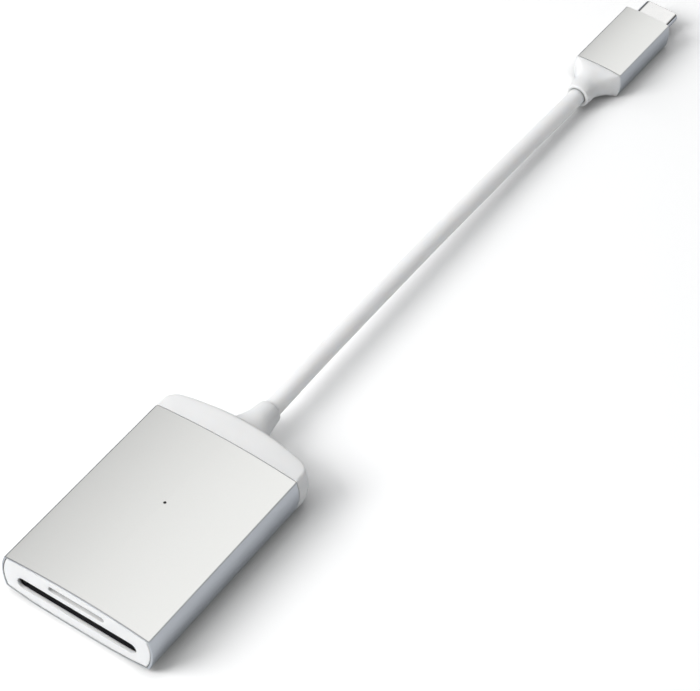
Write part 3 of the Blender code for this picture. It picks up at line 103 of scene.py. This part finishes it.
# ---------------------------------------------------------------- surroundings
# The reflected levels were set by comparing the photograph's view.
FLOOR_HALF = 3.0
FLOOR_GAP = 0.02 * MM
FLOOR_SHOWN = 1.22              # above white, so that the background clips as the photograph's does
PAINTED_CONTACT_SHADOW = 0.80         # painted contact shadow: the shown colour right beside the object
CONTACT_REACH = 3.2 * MM
CONTACT_SAMPLES = 8
CONTACT_OPEN = (0.40, 1.0)      # share of open air, from contact to clear floor
FLOOR_REFLECTED = (0.57, 0.60, 0.66)
FLOOR_LIT = 0.95
FLOOR_FADES = (0.30, 0.60)      # from here to here it turns into the white backdrop
FAR_REFLECTED = 0.20
SKY_LIGHT = 0.26                # what the sky adds to the lamps
SKY_TINT = (0.97, 0.985, 1.0, 1.0)
SKY_REFLECTED = ((0.10, 0.015), (0.31, 0.12), (0.50, 0.83), (0.64, 1.02))  # a direction's z, brightness
SKY_SIDE = ((-1.0, 0.90), (-0.62, 0.66), (-0.30, 1.0))  # a direction's x, brightness
SKY_FRONT = ((-0.90, 0.75), (-0.72, 0.50), (-0.50, 1.0))  # a direction's y, brightness
LAMPS_AIM = (0.0, 0.04, 0.0)
LAMPS = (                       # name, place, width, height, watts
    ("key_box", (-0.55, -0.65, 0.62), 0.5, 0.5, 7.0),
    ("high_box", (-0.35, -0.45, 0.95), 0.5, 0.5, 2.7),
    ("left_box", (-0.90, 0.0, 0.50), 0.6, 0.6, 1.7),
    ("top_box", (-0.10, 0.40, 0.62), 0.5, 0.7, 0.48),
)

# ---------------------------------------------------------------- surfaces
SMOOTH_LIMIT = math.radians(32.0)
WELD_DISTANCE = 0.001 * MM
FLAT_WEIGHT = 90                # over 50, large faces decide the shading
EDGE_SAMPLES = 4
RECESS_SAMPLES = 6
RECESS_OPEN = (0.35, 0.85)      # share of open air, from deep to clear
SCATTER = (1.0, 0.95, 0.9)      # how far red, green and blue travel in plastic, as shares of its scale


def make_camera():
    data = bpy.data.cameras.new("camera")
    data.lens = CAMERA_LENS
    data.sensor_width = SENSOR_WIDTH
    data.clip_start = CLIP_NEAR
    camera = bpy.data.objects.new("camera", data)
    bpy.context.scene.collection.objects.link(camera)
    azimuth, elevation, roll = CAMERA_AZIMUTH, CAMERA_ELEVATION, CAMERA_ROLL
    back = Vector((math.sin(azimuth) * math.cos(elevation),
                   -math.cos(azimuth) * math.cos(elevation), math.sin(elevation)))
    level = Vector((math.cos(azimuth), math.sin(azimuth), 0.0))
    upright = back.cross(level)
    across = math.cos(roll) * level + math.sin(roll) * upright
    up = math.cos(roll) * upright - math.sin(roll) * level
    turn = Matrix((across, up, back)).transposed()
    camera.matrix_world = Matrix.Translation(CAMERA_PLACE) @ turn.to_4x4()
    bpy.context.scene.camera = camera


# ================================================================ node trees
def link_maths(tree, operation, first, second):
    """A maths node fed by sockets or plain numbers."""
    node = tree.nodes.new("ShaderNodeMath")
    node.operation = operation
    for socket, value in zip(node.inputs, (first, second)):
        if isinstance(value, float):
            socket.default_value = value
        else:
            tree.links.new(value, socket)
    return node.outputs["Value"]


def link_mix(tree, share, first, second):
    """A colour between two, each a socket, a colour or a grey, by a share."""
    mix = tree.nodes.new("ShaderNodeMix")
    mix.data_type = "RGBA"
    colour_sockets = [s for s in mix.inputs if s.type == "RGBA"]
    for socket, value in zip(colour_sockets, (first, second)):
        if isinstance(value, float):
            socket.default_value = (value, value, value, 1.0)
        elif isinstance(value, tuple):
            socket.default_value = (*value, 1.0)
        else:
            tree.links.new(value, socket)
    tree.links.new(share, mix.inputs["Factor"])
    return next(s for s in mix.outputs if s.type == "RGBA")


def link_ramp(tree, source, levels, low=0.0, high=1.0):
    """Brightness along a direction's component, by straight steps between levels."""
    ranged = tree.nodes.new("ShaderNodeMapRange")
    ranged.inputs["From Min"].default_value = low
    ranged.inputs["From Max"].default_value = high
    tree.links.new(source, ranged.inputs["Value"])
    ramp = tree.nodes.new("ShaderNodeValToRGB")
    stops = ramp.color_ramp.elements
    while len(stops) < len(levels):
        stops.new(0.5)
    for stop, (at, brightness) in zip(stops, levels):
        stop.position = (at - low) / (high - low)
        stop.color = (brightness, brightness, brightness, 1.0)
    tree.links.new(ranged.outputs["Result"], ramp.inputs["Fac"])
    return ramp.outputs["Color"]


class Finish:
    """One node-based material, with the wiring that its patterns share."""

    def __init__(self, name):
        self.material = bpy.data.materials.new(name)
        self.material.use_nodes = True
        self.nodes = self.material.node_tree.nodes
        self.links = self.material.node_tree.links
        self.nodes.clear()
        self.output = self.nodes.new("ShaderNodeOutputMaterial")
        self.shader = self.nodes.new("ShaderNodeBsdfPrincipled")
        self.links.new(self.shader.outputs["BSDF"], self.output.inputs["Surface"])
        self.place = self.nodes.new("ShaderNodeTexCoord").outputs["Object"]

    def set(self, **values):
        for name, value in values.items():
            self.shader.inputs[name.replace("_", " ")].default_value = value
        return self

    def feed(self, socket, source):
        self.links.new(source, self.shader.inputs[socket])

    def mapped(self, stretch, turn=(0.0, 0.0, 0.0)):
        """Object coordinates stretched by a factor along each axis."""
        mapping = self.nodes.new("ShaderNodeMapping")
        mapping.inputs["Scale"].default_value = stretch
        mapping.inputs["Rotation"].default_value = turn
        self.links.new(self.place, mapping.inputs["Vector"])
        return mapping.outputs["Vector"]

    def noise(self, size, detail=2.0, rough=0.5, stretch=None):
        """Cloudy pattern with features of about this size, in metres."""
        texture = self.nodes.new("ShaderNodeTexNoise")
        texture.inputs["Scale"].default_value = 1.0 / size
        texture.inputs["Detail"].default_value = detail
        texture.inputs["Roughness"].default_value = rough
        self.links.new(self.mapped(stretch) if stretch else self.place, texture.inputs["Vector"])
        return texture.outputs["Fac"]

    def specks(self, size):
        """Distance to the nearest of many scattered points, for pits and grains."""
        texture = self.nodes.new("ShaderNodeTexVoronoi")
        texture.inputs["Scale"].default_value = 1.0 / size
        self.links.new(self.place, texture.inputs["Vector"])
        return texture.outputs["Distance"]

    def span(self, source, low, high, source_low=0.3, source_high=0.7):
        """A pattern's value stretched to run from low to high."""
        ranged = self.nodes.new("ShaderNodeMapRange")
        ranged.inputs["From Min"].default_value = source_low
        ranged.inputs["From Max"].default_value = source_high
        ranged.inputs["To Min"].default_value = low
        ranged.inputs["To Max"].default_value = high
        self.links.new(source, ranged.inputs["Value"])
        return ranged.outputs["Result"]

    def maths(self, operation, first, second):
        return link_maths(self.material.node_tree, operation, first, second)

    def blend(self, share, first, second):
        """A colour between two, by a pattern."""
        return link_mix(self.material.node_tree, share, first, second)

    def bump(self, height, depth, strength=1.0, under=None):
        """A surface relief of this depth, in metres, over another one if given."""
        node = self.nodes.new("ShaderNodeBump")
        node.inputs["Strength"].default_value = strength
        node.inputs["Distance"].default_value = depth
        self.links.new(height, node.inputs["Height"])
        if under is not None:
            self.links.new(under, node.inputs["Normal"])
        return node.outputs["Normal"]

    def uneven(self, fine, fine_range, clouds, cloud_range):
        """Roughness that varies with a fine pattern on top of a cloudy one."""
        total = self.maths("ADD", self.span(fine, *fine_range), self.span(clouds, *cloud_range))
        self.feed("Roughness", total)

    def soft_edge(self, radius):
        """Normals rounded over the sharp edges, as moulding and tumbling leave them."""
        node = self.nodes.new("ShaderNodeBevel")
        node.samples = EDGE_SAMPLES
        node.inputs["Radius"].default_value = radius
        return node.outputs["Normal"]

    def painted_shade_mask(self, reach):
        """1 deep in slots and seams and 0 in the open, over this reach in metres, from ambient occlusion; it
        masks painted shade.
        """
        node = self.nodes.new("ShaderNodeAmbientOcclusion")
        node.samples = RECESS_SAMPLES
        node.inputs["Distance"].default_value = reach
        return self.span(node.outputs["AO"], 1.0, 0.0, *RECESS_OPEN)


def anodised(name, tone=0.90, roughness=0.34):
    """Bead-blasted and clear-anodised aluminium."""
    finish = Finish(name)
    clouds = finish.noise(9 * MM, 3.0)
    grain = finish.noise(0.09 * MM, 2.0, 0.6)
    base = finish.blend(finish.span(clouds, 0.0, 1.0), (tone * 1.01, tone * 1.015, tone * 0.99),
                        (tone * 1.03, tone * 1.035, tone * 1.01))
    base = finish.blend(finish.span(grain, 0.0, 0.25), base, (tone * 0.86, tone * 0.86, tone * 0.87))
    finish.feed("Base Color", base)
    finish.uneven(grain, (-0.04, 0.05), clouds, (roughness - 0.02, roughness + 0.02))
    relief = finish.bump(grain, 0.004 * MM, 0.5, finish.soft_edge(0.08 * MM))
    finish.feed("Normal", relief)
    return finish.set(Metallic=1.0).material


def moulded(name, light, dark, roughness, depth=0.0):
    """Injection-moulded plastic with a fine spark-eroded grain, painted shade in its slots and seams, and
    light in its depth if asked.
    """
    finish = Finish(name)
    clouds = finish.noise(6 * MM, 2.0)
    grain = finish.noise(0.12 * MM, 3.0, 0.6)
    dust = finish.specks(0.9 * MM)
    base = finish.blend(finish.span(clouds, 0.0, 1.0), light, dark)
    mark = tuple(0.82 * part for part in dark)
    base = finish.blend(finish.span(dust, 0.35, 0.0, 0.02, 0.06), base, mark)
    # painted shade: ambient occlusion darkens the colour in slots, seams and beside other parts within 2 mm
    base = finish.blend(finish.painted_shade_mask(2.0 * MM), base, tuple(0.62 * part for part in dark))
    finish.feed("Base Color", base)
    finish.uneven(grain, (-0.05, 0.06), clouds, (roughness - 0.03, roughness + 0.03))
    finish.feed("Normal", finish.bump(grain, 0.003 * MM, 0.5, finish.soft_edge(0.06 * MM)))
    finish.set(Subsurface_Weight=depth, Subsurface_Scale=1.2 * MM, Subsurface_Radius=SCATTER)
    return finish.material


def rubber(name, light, dark, roughness=0.46):
    """Extruded cable jacket: faint draw lines along it, a matt skin, and painted shade where it enters a
    collar.
    """
    finish = Finish(name)
    lines = finish.noise(0.25 * MM, 2.0, 0.6, (1.0, 0.04, 1.0))
    clouds = finish.noise(7 * MM, 2.0)
    skin = finish.noise(0.10 * MM, 2.0)
    base = finish.blend(finish.span(clouds, 0.0, 1.0), light, dark)
    # painted shade: ambient occlusion darkens the jacket where it enters a collar or lies close to other
    # parts
    finish.feed("Base Color", finish.blend(finish.painted_shade_mask(1.0 * MM), base, tuple(0.4 * part for part in dark)))
    finish.uneven(lines, (-0.04, 0.04), clouds, (roughness - 0.03, roughness + 0.04))
    relief = finish.bump(lines, 0.004 * MM, 0.4)
    finish.feed("Normal", finish.bump(skin, 0.003 * MM, 0.4, relief))
    finish.set(Subsurface_Weight=0.9, Subsurface_Scale=3.0 * MM, Subsurface_Radius=SCATTER)
    return finish.material


def sheet_metal(name, light, dark, roughness):
    """Rolled and stamped metal: rolling lines and faint cloudy stains."""
    finish = Finish(name)
    lines = finish.noise(0.05 * MM, 3.0, 0.6, (1.0, 0.05, 1.0))
    clouds = finish.noise(3 * MM, 3.0)
    finish.feed("Base Color", finish.blend(finish.span(clouds, 0.0, 1.0), light, dark))
    finish.uneven(lines, (-0.05, 0.06), clouds, (roughness - 0.03, roughness + 0.04))
    finish.feed("Normal", finish.bump(lines, 0.0015 * MM, 0.5, finish.soft_edge(0.03 * MM)))
    return finish.set(Metallic=1.0).material


def plated(name):
    """Bright-plated steel: nearly a mirror, with hairlines."""
    finish = Finish(name)
    hairs = finish.noise(0.04 * MM, 2.0, 0.6, (1.0, 0.04, 1.0))
    clouds = finish.noise(3 * MM, 2.0)
    base = finish.blend(finish.span(clouds, 0.0, 1.0), (0.91, 0.905, 0.895), (0.88, 0.88, 0.875))
    finish.feed("Base Color", base)
    finish.uneven(hairs, (-0.01, 0.02), clouds, (0.07, 0.10))
    finish.feed("Normal", finish.bump(hairs, 0.0003 * MM, 0.5, finish.soft_edge(0.05 * MM)))
    return finish.set(Metallic=1.0).material


def board(name):
    """Glass-fibre board under solder mask, with copper tracks that stand proud of it."""
    finish = Finish(name)
    tracks = finish.nodes.new("ShaderNodeTexBrick")
    tracks.inputs["Scale"].default_value = 1.0 / (4 * MM)
    tracks.inputs["Mortar Size"].default_value = 0.03
    tracks.inputs["Mortar Smooth"].default_value = 0.2
    finish.links.new(finish.mapped((1.0, 1.0, 0.0), (0.0, 0.0, math.radians(45.0))), tracks.inputs["Vector"])
    weave = finish.noise(0.3 * MM, 2.0)
    copper = finish.span(tracks.outputs["Fac"], 0.0, 1.0, 0.0, 1.0)
    base = finish.blend(finish.span(weave, 0.0, 1.0), (0.004, 0.045, 0.018), (0.006, 0.055, 0.024))
    base = finish.blend(copper, base, (0.012, 0.115, 0.045))
    finish.feed("Base Color", base)
    finish.feed("Roughness", finish.span(weave, 0.28, 0.40))
    finish.feed("Normal", finish.bump(copper, 0.02 * MM, 0.6))
    return finish.material


def package(name):
    """Moulded epoxy of a chip: dark, matt and speckled."""
    finish = Finish(name)
    specks = finish.specks(0.08 * MM)
    grain = finish.noise(0.06 * MM, 3.0)
    base = finish.blend(finish.span(specks, 0.0, 1.0), (0.030, 0.030, 0.032), (0.014, 0.014, 0.015))
    finish.feed("Base Color", base)
    finish.feed("Roughness", finish.span(grain, 0.52, 0.68))
    finish.feed("Normal", finish.bump(grain, 0.004 * MM, 0.5))
    return finish.material


def ceramic(name):
    """Chip capacitor: a tan body between tinned ends."""
    finish = Finish(name)
    generated = finish.nodes.new("ShaderNodeTexCoord").outputs["Generated"]
    split = finish.nodes.new("ShaderNodeSeparateXYZ")
    finish.links.new(generated, split.inputs["Vector"])
    off_centre = finish.maths("ABSOLUTE", finish.maths("SUBTRACT", split.outputs["X"], 0.5), 0.0)
    tinned = finish.span(off_centre, 0.0, 1.0, 0.29, 0.31)
    grain = finish.noise(0.08 * MM, 2.0)
    tan = finish.blend(finish.span(grain, 0.0, 1.0), (0.36, 0.22, 0.12), (0.30, 0.18, 0.10))
    finish.feed("Base Color", finish.blend(tinned, tan, (0.72, 0.71, 0.68)))
    finish.feed("Metallic", tinned)
    finish.feed("Roughness", finish.span(grain, 0.38, 0.52))
    finish.feed("Normal", finish.bump(grain, 0.003 * MM, 0.5))
    return finish.material


def clear(name):
    """Clear polycarbonate, faintly milky."""
    finish = Finish(name)
    haze = finish.noise(0.4 * MM, 2.0)
    base = finish.blend(finish.span(haze, 0.0, 1.0), (0.80, 0.82, 0.84), (0.88, 0.89, 0.90))
    finish.feed("Base Color", base)
    finish.feed("Roughness", finish.span(haze, 0.16, 0.30))
    return finish.set(Transmission_Weight=0.75, IOR=1.58).material


# ================================================================ pieces
def smoothing_group():
    """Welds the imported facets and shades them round, except over real corners."""
    tree = bpy.data.node_groups.new("smoothing", "GeometryNodeTree")
    tree.interface.new_socket("Geometry", in_out="INPUT", socket_type="NodeSocketGeometry")
    tree.interface.new_socket("Geometry", in_out="OUTPUT", socket_type="NodeSocketGeometry")
    start = tree.nodes.new("NodeGroupInput")
    end = tree.nodes.new("NodeGroupOutput")
    merge = tree.nodes.new("GeometryNodeMergeByDistance")
    merge.inputs["Distance"].default_value = WELD_DISTANCE
    unset = tree.nodes.new("GeometryNodeRemoveAttribute")
    unset.inputs["Name"].default_value = "custom_normal"
    smooth = tree.nodes.new("GeometryNodeSetShadeSmooth")
    smooth.domain = "FACE"
    angle = tree.nodes.new("GeometryNodeInputMeshEdgeAngle")
    corner = tree.nodes.new("FunctionNodeCompare")
    corner.data_type = "FLOAT"
    corner.operation = "GREATER_THAN"
    corner.inputs["B"].default_value = SMOOTH_LIMIT
    crisp = tree.nodes.new("GeometryNodeSetShadeSmooth")
    crisp.domain = "EDGE"
    crisp.inputs["Shade Smooth"].default_value = False
    chain = (start, merge, unset, smooth, crisp, end)
    for before, after in zip(chain, chain[1:]):
        tree.links.new(before.outputs[0], after.inputs[0])
    tree.links.new(angle.outputs["Unsigned Angle"], corner.inputs["A"])
    tree.links.new(corner.outputs["Result"], crisp.inputs["Selection"])
    return tree


def smooth_route(knots, spacing):
    """Evenly spaced points on a Catmull-Rom curve through the knots."""
    knots = [knots[0] * 2 - knots[1], *knots, knots[-1] * 2 - knots[-2]]
    fine = []
    for a, b, c, d in zip(knots, knots[1:], knots[2:], knots[3:]):
        for step in range(ROUTE_STEPS):
            t = step / ROUTE_STEPS
            fine.append(0.5 * (2 * b + (c - a) * t + (2 * a - 5 * b + 4 * c - d) * t ** 2
                               + (3 * b - a - 3 * c + d) * t ** 3))
    fine.append(knots[-2])
    lengths = [0.0]
    for before, after in zip(fine, fine[1:]):
        lengths.append(lengths[-1] + (after - before).length)
    count = max(2, round(lengths[-1] / spacing))
    points, index = [], 0
    for step in range(count + 1):
        target = lengths[-1] * step / count
        while index < len(fine) - 2 and lengths[index + 1] < target:
            index += 1
        share = (target - lengths[index]) / (lengths[index + 1] - lengths[index])
        points.append(fine[index].lerp(fine[index + 1], min(share, 1.0)))
    return points, lengths[-1]


def make_lead(look):
    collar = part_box("rear_cap")[1].y
    start = Vector((0.0, collar - LEAD_ENTRY, READER_AXIS))
    inward = Matrix.Rotation(PLUG_TURN, 3, "Z") @ Vector((0.0, 1.0, 0.0))
    seam = Vector((0.0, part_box("lead")[1].y + (BOOT_LENGTH - LEAD_ENTRY) * inward.y, PLUG_AXIS))
    end = seam - (BOOT_LENGTH - LEAD_ENTRY) * inward
    knots = [Vector((x, collar + y, z)) for x, y, z in LEAD_KNOTS]
    knots = [start, start + Vector((0.0, LEAD_STRAIGHT, 0.0)), *knots, end - LEAD_STRAIGHT * inward, end]
    points, length = smooth_route(knots, LEAD_SPACING)
    data = bpy.data.curves.new("lead_jacket", "CURVE")
    data.dimensions = "3D"
    data.bevel_depth = LEAD_DIAMETER / 2
    data.bevel_resolution = LEAD_BEVEL_STEPS
    data.resolution_u = LEAD_STEPS
    data.use_fill_caps = True
    spline = data.splines.new("BEZIER")
    spline.bezier_points.add(len(points) - 1)
    for point, place in zip(spline.bezier_points, points):
        point.co = place
        point.handle_left_type = "AUTO"
        point.handle_right_type = "AUTO"
    lead = bpy.data.objects.new("lead_jacket", data)
    bpy.context.scene.collection.objects.link(lead)
    data.materials.append(look)
    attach(lead, frame["record"]["behaviour"]["joints"][0]["parent"])
    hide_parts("lead")


def make_spring(look):
    """The ejector's coil, built at rest; the real one shortens towards its rear seat as a card goes in."""
    low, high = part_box("eject_spring")
    push = frame["record"]["behaviour"]["joints"][0]
    middle = (low + high) / 2
    radius = (high.x - low.x) / 2 - SPRING_WIRE
    run = high.y - low.y - 2 * SPRING_WIRE
    mesh = bmesh.new()
    rings = []
    for step in range(SPRING_TURNS * SPRING_STEPS + 1):
        angle = math.tau * step / SPRING_STEPS
        outward = Vector((math.cos(angle), 0.0, math.sin(angle)))
        along = low.y + SPRING_WIRE + run * step / (SPRING_TURNS * SPRING_STEPS)
        place = Vector((middle.x, along, middle.z)) + radius * outward
        ring = []
        for side in range(SPRING_SIDES):
            turn = math.tau * side / SPRING_SIDES
            ring.append(mesh.verts.new(place + SPRING_WIRE * (math.cos(turn) * outward
                                                              + math.sin(turn) * Vector((0.0, 1.0, 0.0)))))
        rings.append(ring)
    for before, after in zip(rings, rings[1:]):
        for side in range(SPRING_SIDES):
            other = (side + 1) % SPRING_SIDES
            mesh.faces.new((before[side], before[other], after[other], after[side]))
    mesh.faces.new(rings[0])
    mesh.faces.new(rings[-1])
    bmesh.ops.recalc_face_normals(mesh, faces=mesh.faces)
    for face in mesh.faces:
        face.smooth = len(face.verts) == 4
    data = bpy.data.meshes.new("ejector_coil")
    mesh.to_mesh(data)
    mesh.free()
    coil = bpy.data.objects.new("ejector_coil", data)
    bpy.context.scene.collection.objects.link(coil)
    data.materials.append(look)
    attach(coil, push["parent"])
    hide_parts("eject_spring")
    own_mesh(coil)


# ================================================================ studio
def soft_box(name, place, width, height, power):
    """A lamp that lights the object and is left out of its reflections."""
    data = bpy.data.lights.new(name, "AREA")
    data.shape = "RECTANGLE"
    data.size = width
    data.size_y = height
    data.energy = power
    lamp = bpy.data.objects.new(name, data)
    lamp.location = place
    lamp.visible_glossy = False
    lamp.rotation_mode = "QUATERNION"
    lamp.rotation_quaternion = (Vector(LAMPS_AIM) - Vector(place)).to_track_quat("-Z", "Y")
    bpy.context.scene.collection.objects.link(lamp)


def seen_rays(tree, rays):
    """1 for camera, glossy and transmission rays, and 0 for light that falls on the object."""
    seen = link_maths(tree, "MAXIMUM", rays.outputs["Is Camera Ray"], rays.outputs["Is Glossy Ray"])
    seen = link_maths(tree, "MAXIMUM", seen, rays.outputs["Is Transmission Ray"])
    direct = link_maths(tree, "LESS_THAN", rays.outputs["Diffuse Depth"], 0.5)
    return link_maths(tree, "MULTIPLY", seen, direct)


def make_sky():
    """White to look at; in reflections it darkens near the horizon, a little towards -x, and in a
    band towards -y that makes the dark line of the front chamfer."""
    world = bpy.data.worlds.new("studio")
    bpy.context.scene.world = world
    world.use_nodes = True
    tree = world.node_tree
    tree.nodes.clear()
    output = tree.nodes.new("ShaderNodeOutputWorld")
    rays = tree.nodes.new("ShaderNodeLightPath")
    direction = tree.nodes.new("ShaderNodeSeparateXYZ")
    tree.links.new(tree.nodes.new("ShaderNodeTexCoord").outputs["Generated"], direction.inputs["Vector"])
    mirrored = link_maths(tree, "MULTIPLY", link_ramp(tree, direction.outputs["Z"], SKY_REFLECTED),
                          link_ramp(tree, direction.outputs["X"], SKY_SIDE, -1.0, 0.0))
    mirrored = link_maths(tree, "MULTIPLY", mirrored,
                          link_ramp(tree, direction.outputs["Y"], SKY_FRONT, -1.0, 0.0))
    lit = tree.nodes.new("ShaderNodeBackground")
    lit.inputs["Color"].default_value = SKY_TINT
    lit.inputs["Strength"].default_value = SKY_LIGHT
    shown = tree.nodes.new("ShaderNodeBackground")
    shown.inputs["Strength"].default_value = 1.0
    tree.links.new(link_mix(tree, rays.outputs["Is Glossy Ray"], 1.0, mirrored),
                   shown.inputs["Color"])
    mix = tree.nodes.new("ShaderNodeMixShader")
    tree.links.new(seen_rays(tree, rays), mix.inputs["Fac"])
    tree.links.new(lit.outputs["Background"], mix.inputs[1])
    tree.links.new(shown.outputs["Background"], mix.inputs[2])
    tree.links.new(mix.outputs["Shader"], output.inputs["Surface"])


def make_floor():
    """White to look at, with painted shadow beside the object over the lamps' own shadows, darker in
    reflections, and a white backdrop far out.
    """
    mesh = bpy.data.meshes.new("floor")
    corners = [(-1, -1), (1, -1), (1, 1), (-1, 1)]
    mesh.from_pydata([(x * FLOOR_HALF, y * FLOOR_HALF, -FLOOR_GAP) for x, y in corners], [], [(0, 1, 2, 3)])
    floor = bpy.data.objects.new("floor", mesh)
    bpy.context.scene.collection.objects.link(floor)
    material = bpy.data.materials.new("studio_floor")
    material.use_nodes = True
    tree = material.node_tree
    tree.nodes.clear()
    output = tree.nodes.new("ShaderNodeOutputMaterial")
    surface = tree.nodes.new("ShaderNodeBsdfDiffuse")
    rays = tree.nodes.new("ShaderNodeLightPath")
    seen = seen_rays(tree, rays)
    # painted shadow: ambient occlusion darkens the shown floor colour beside the object
    near = tree.nodes.new("ShaderNodeAmbientOcclusion")
    near.samples = CONTACT_SAMPLES
    near.inputs["Distance"].default_value = CONTACT_REACH
    open_air = tree.nodes.new("ShaderNodeMapRange")
    open_air.inputs["From Min"].default_value, open_air.inputs["From Max"].default_value = CONTACT_OPEN
    tree.links.new(near.outputs["AO"], open_air.inputs["Value"])
    shown = link_mix(tree, open_air.outputs["Result"], PAINTED_CONTACT_SHADOW, FLOOR_SHOWN)
    shown = link_mix(tree, rays.outputs["Is Glossy Ray"], shown, FLOOR_REFLECTED)
    tree.links.new(link_mix(tree, seen, FLOOR_LIT, shown), surface.inputs["Color"])
    away = tree.nodes.new("ShaderNodeVectorMath")
    away.operation = "LENGTH"
    tree.links.new(tree.nodes.new("ShaderNodeTexCoord").outputs["Object"], away.inputs[0])
    far = tree.nodes.new("ShaderNodeMapRange")
    far.inputs["From Min"].default_value, far.inputs["From Max"].default_value = FLOOR_FADES
    tree.links.new(away.outputs["Value"], far.inputs["Value"])
    backdrop = tree.nodes.new("ShaderNodeEmission")
    tree.links.new(link_mix(tree, rays.outputs["Is Glossy Ray"], 1.0, FAR_REFLECTED),
                   backdrop.inputs["Color"])
    mix = tree.nodes.new("ShaderNodeMixShader")
    tree.links.new(link_maths(tree, "MULTIPLY", far.outputs["Result"], seen), mix.inputs["Fac"])
    tree.links.new(surface.outputs["BSDF"], mix.inputs[1])
    tree.links.new(backdrop.outputs["Emission"], mix.inputs[2])
    tree.links.new(mix.outputs["Shader"], output.inputs["Surface"])
    mesh.materials.append(material)


make_camera()
bpy.context.scene.view_settings.view_transform = "Standard"

LOOKS = {
    "aluminium_sleeve": anodised("anodised_aluminium"),
    "white_plastic": moulded("white_moulding", (0.93, 0.93, 0.923), (0.91, 0.91, 0.905), 0.40, depth=0.6),
    "white_lead": rubber("jacket_white", (0.94, 0.94, 0.935), (0.92, 0.92, 0.917)),
    "black_plastic": moulded("black_moulding", (0.022, 0.022, 0.023), (0.016, 0.016, 0.017), 0.50),
    "chip_package": package("chip_epoxy"),
    "spring_steel": sheet_metal("stamped_steel", (0.56, 0.56, 0.57), (0.50, 0.50, 0.51), 0.30),
    "plug_steel": plated("plated_shell"),
    "gold_contact": sheet_metal("gilt_contact", (0.93, 0.66, 0.30), (0.86, 0.58, 0.26), 0.24),
    "circuit_board": board("solder_mask"),
    "ceramic": ceramic("chip_ceramic"),
    "clear_plastic": clear("clear_moulding"),
    "wire_red": rubber("wire_red", (0.55, 0.02, 0.02), (0.48, 0.015, 0.015), 0.40),
    "wire_white": rubber("wire_white", (0.80, 0.80, 0.78), (0.74, 0.74, 0.72), 0.40),
    "wire_green": rubber("wire_green", (0.02, 0.30, 0.06), (0.015, 0.25, 0.05), 0.40),
    "wire_black": rubber("wire_black", (0.02, 0.02, 0.02), (0.012, 0.012, 0.012), 0.40),
}

make_lead(LOOKS["white_lead"])
make_spring(LOOKS["spring_steel"])
smoothing = smoothing_group()
for node in frame["nodes"].values():
    look = LOOKS[node.data.materials[0].name]
    node.data.materials[0] = look
    modifier = node.modifiers.new("smoothing", "NODES")
    modifier.node_group = smoothing
    flats = node.modifiers.new("true_flats", "WEIGHTED_NORMAL")
    flats.mode = "FACE_AREA"
    flats.weight = FLAT_WEIGHT
    flats.keep_sharp = True

make_sky()
make_floor()
for lamp in LAMPS:
    soft_box(*lamp)
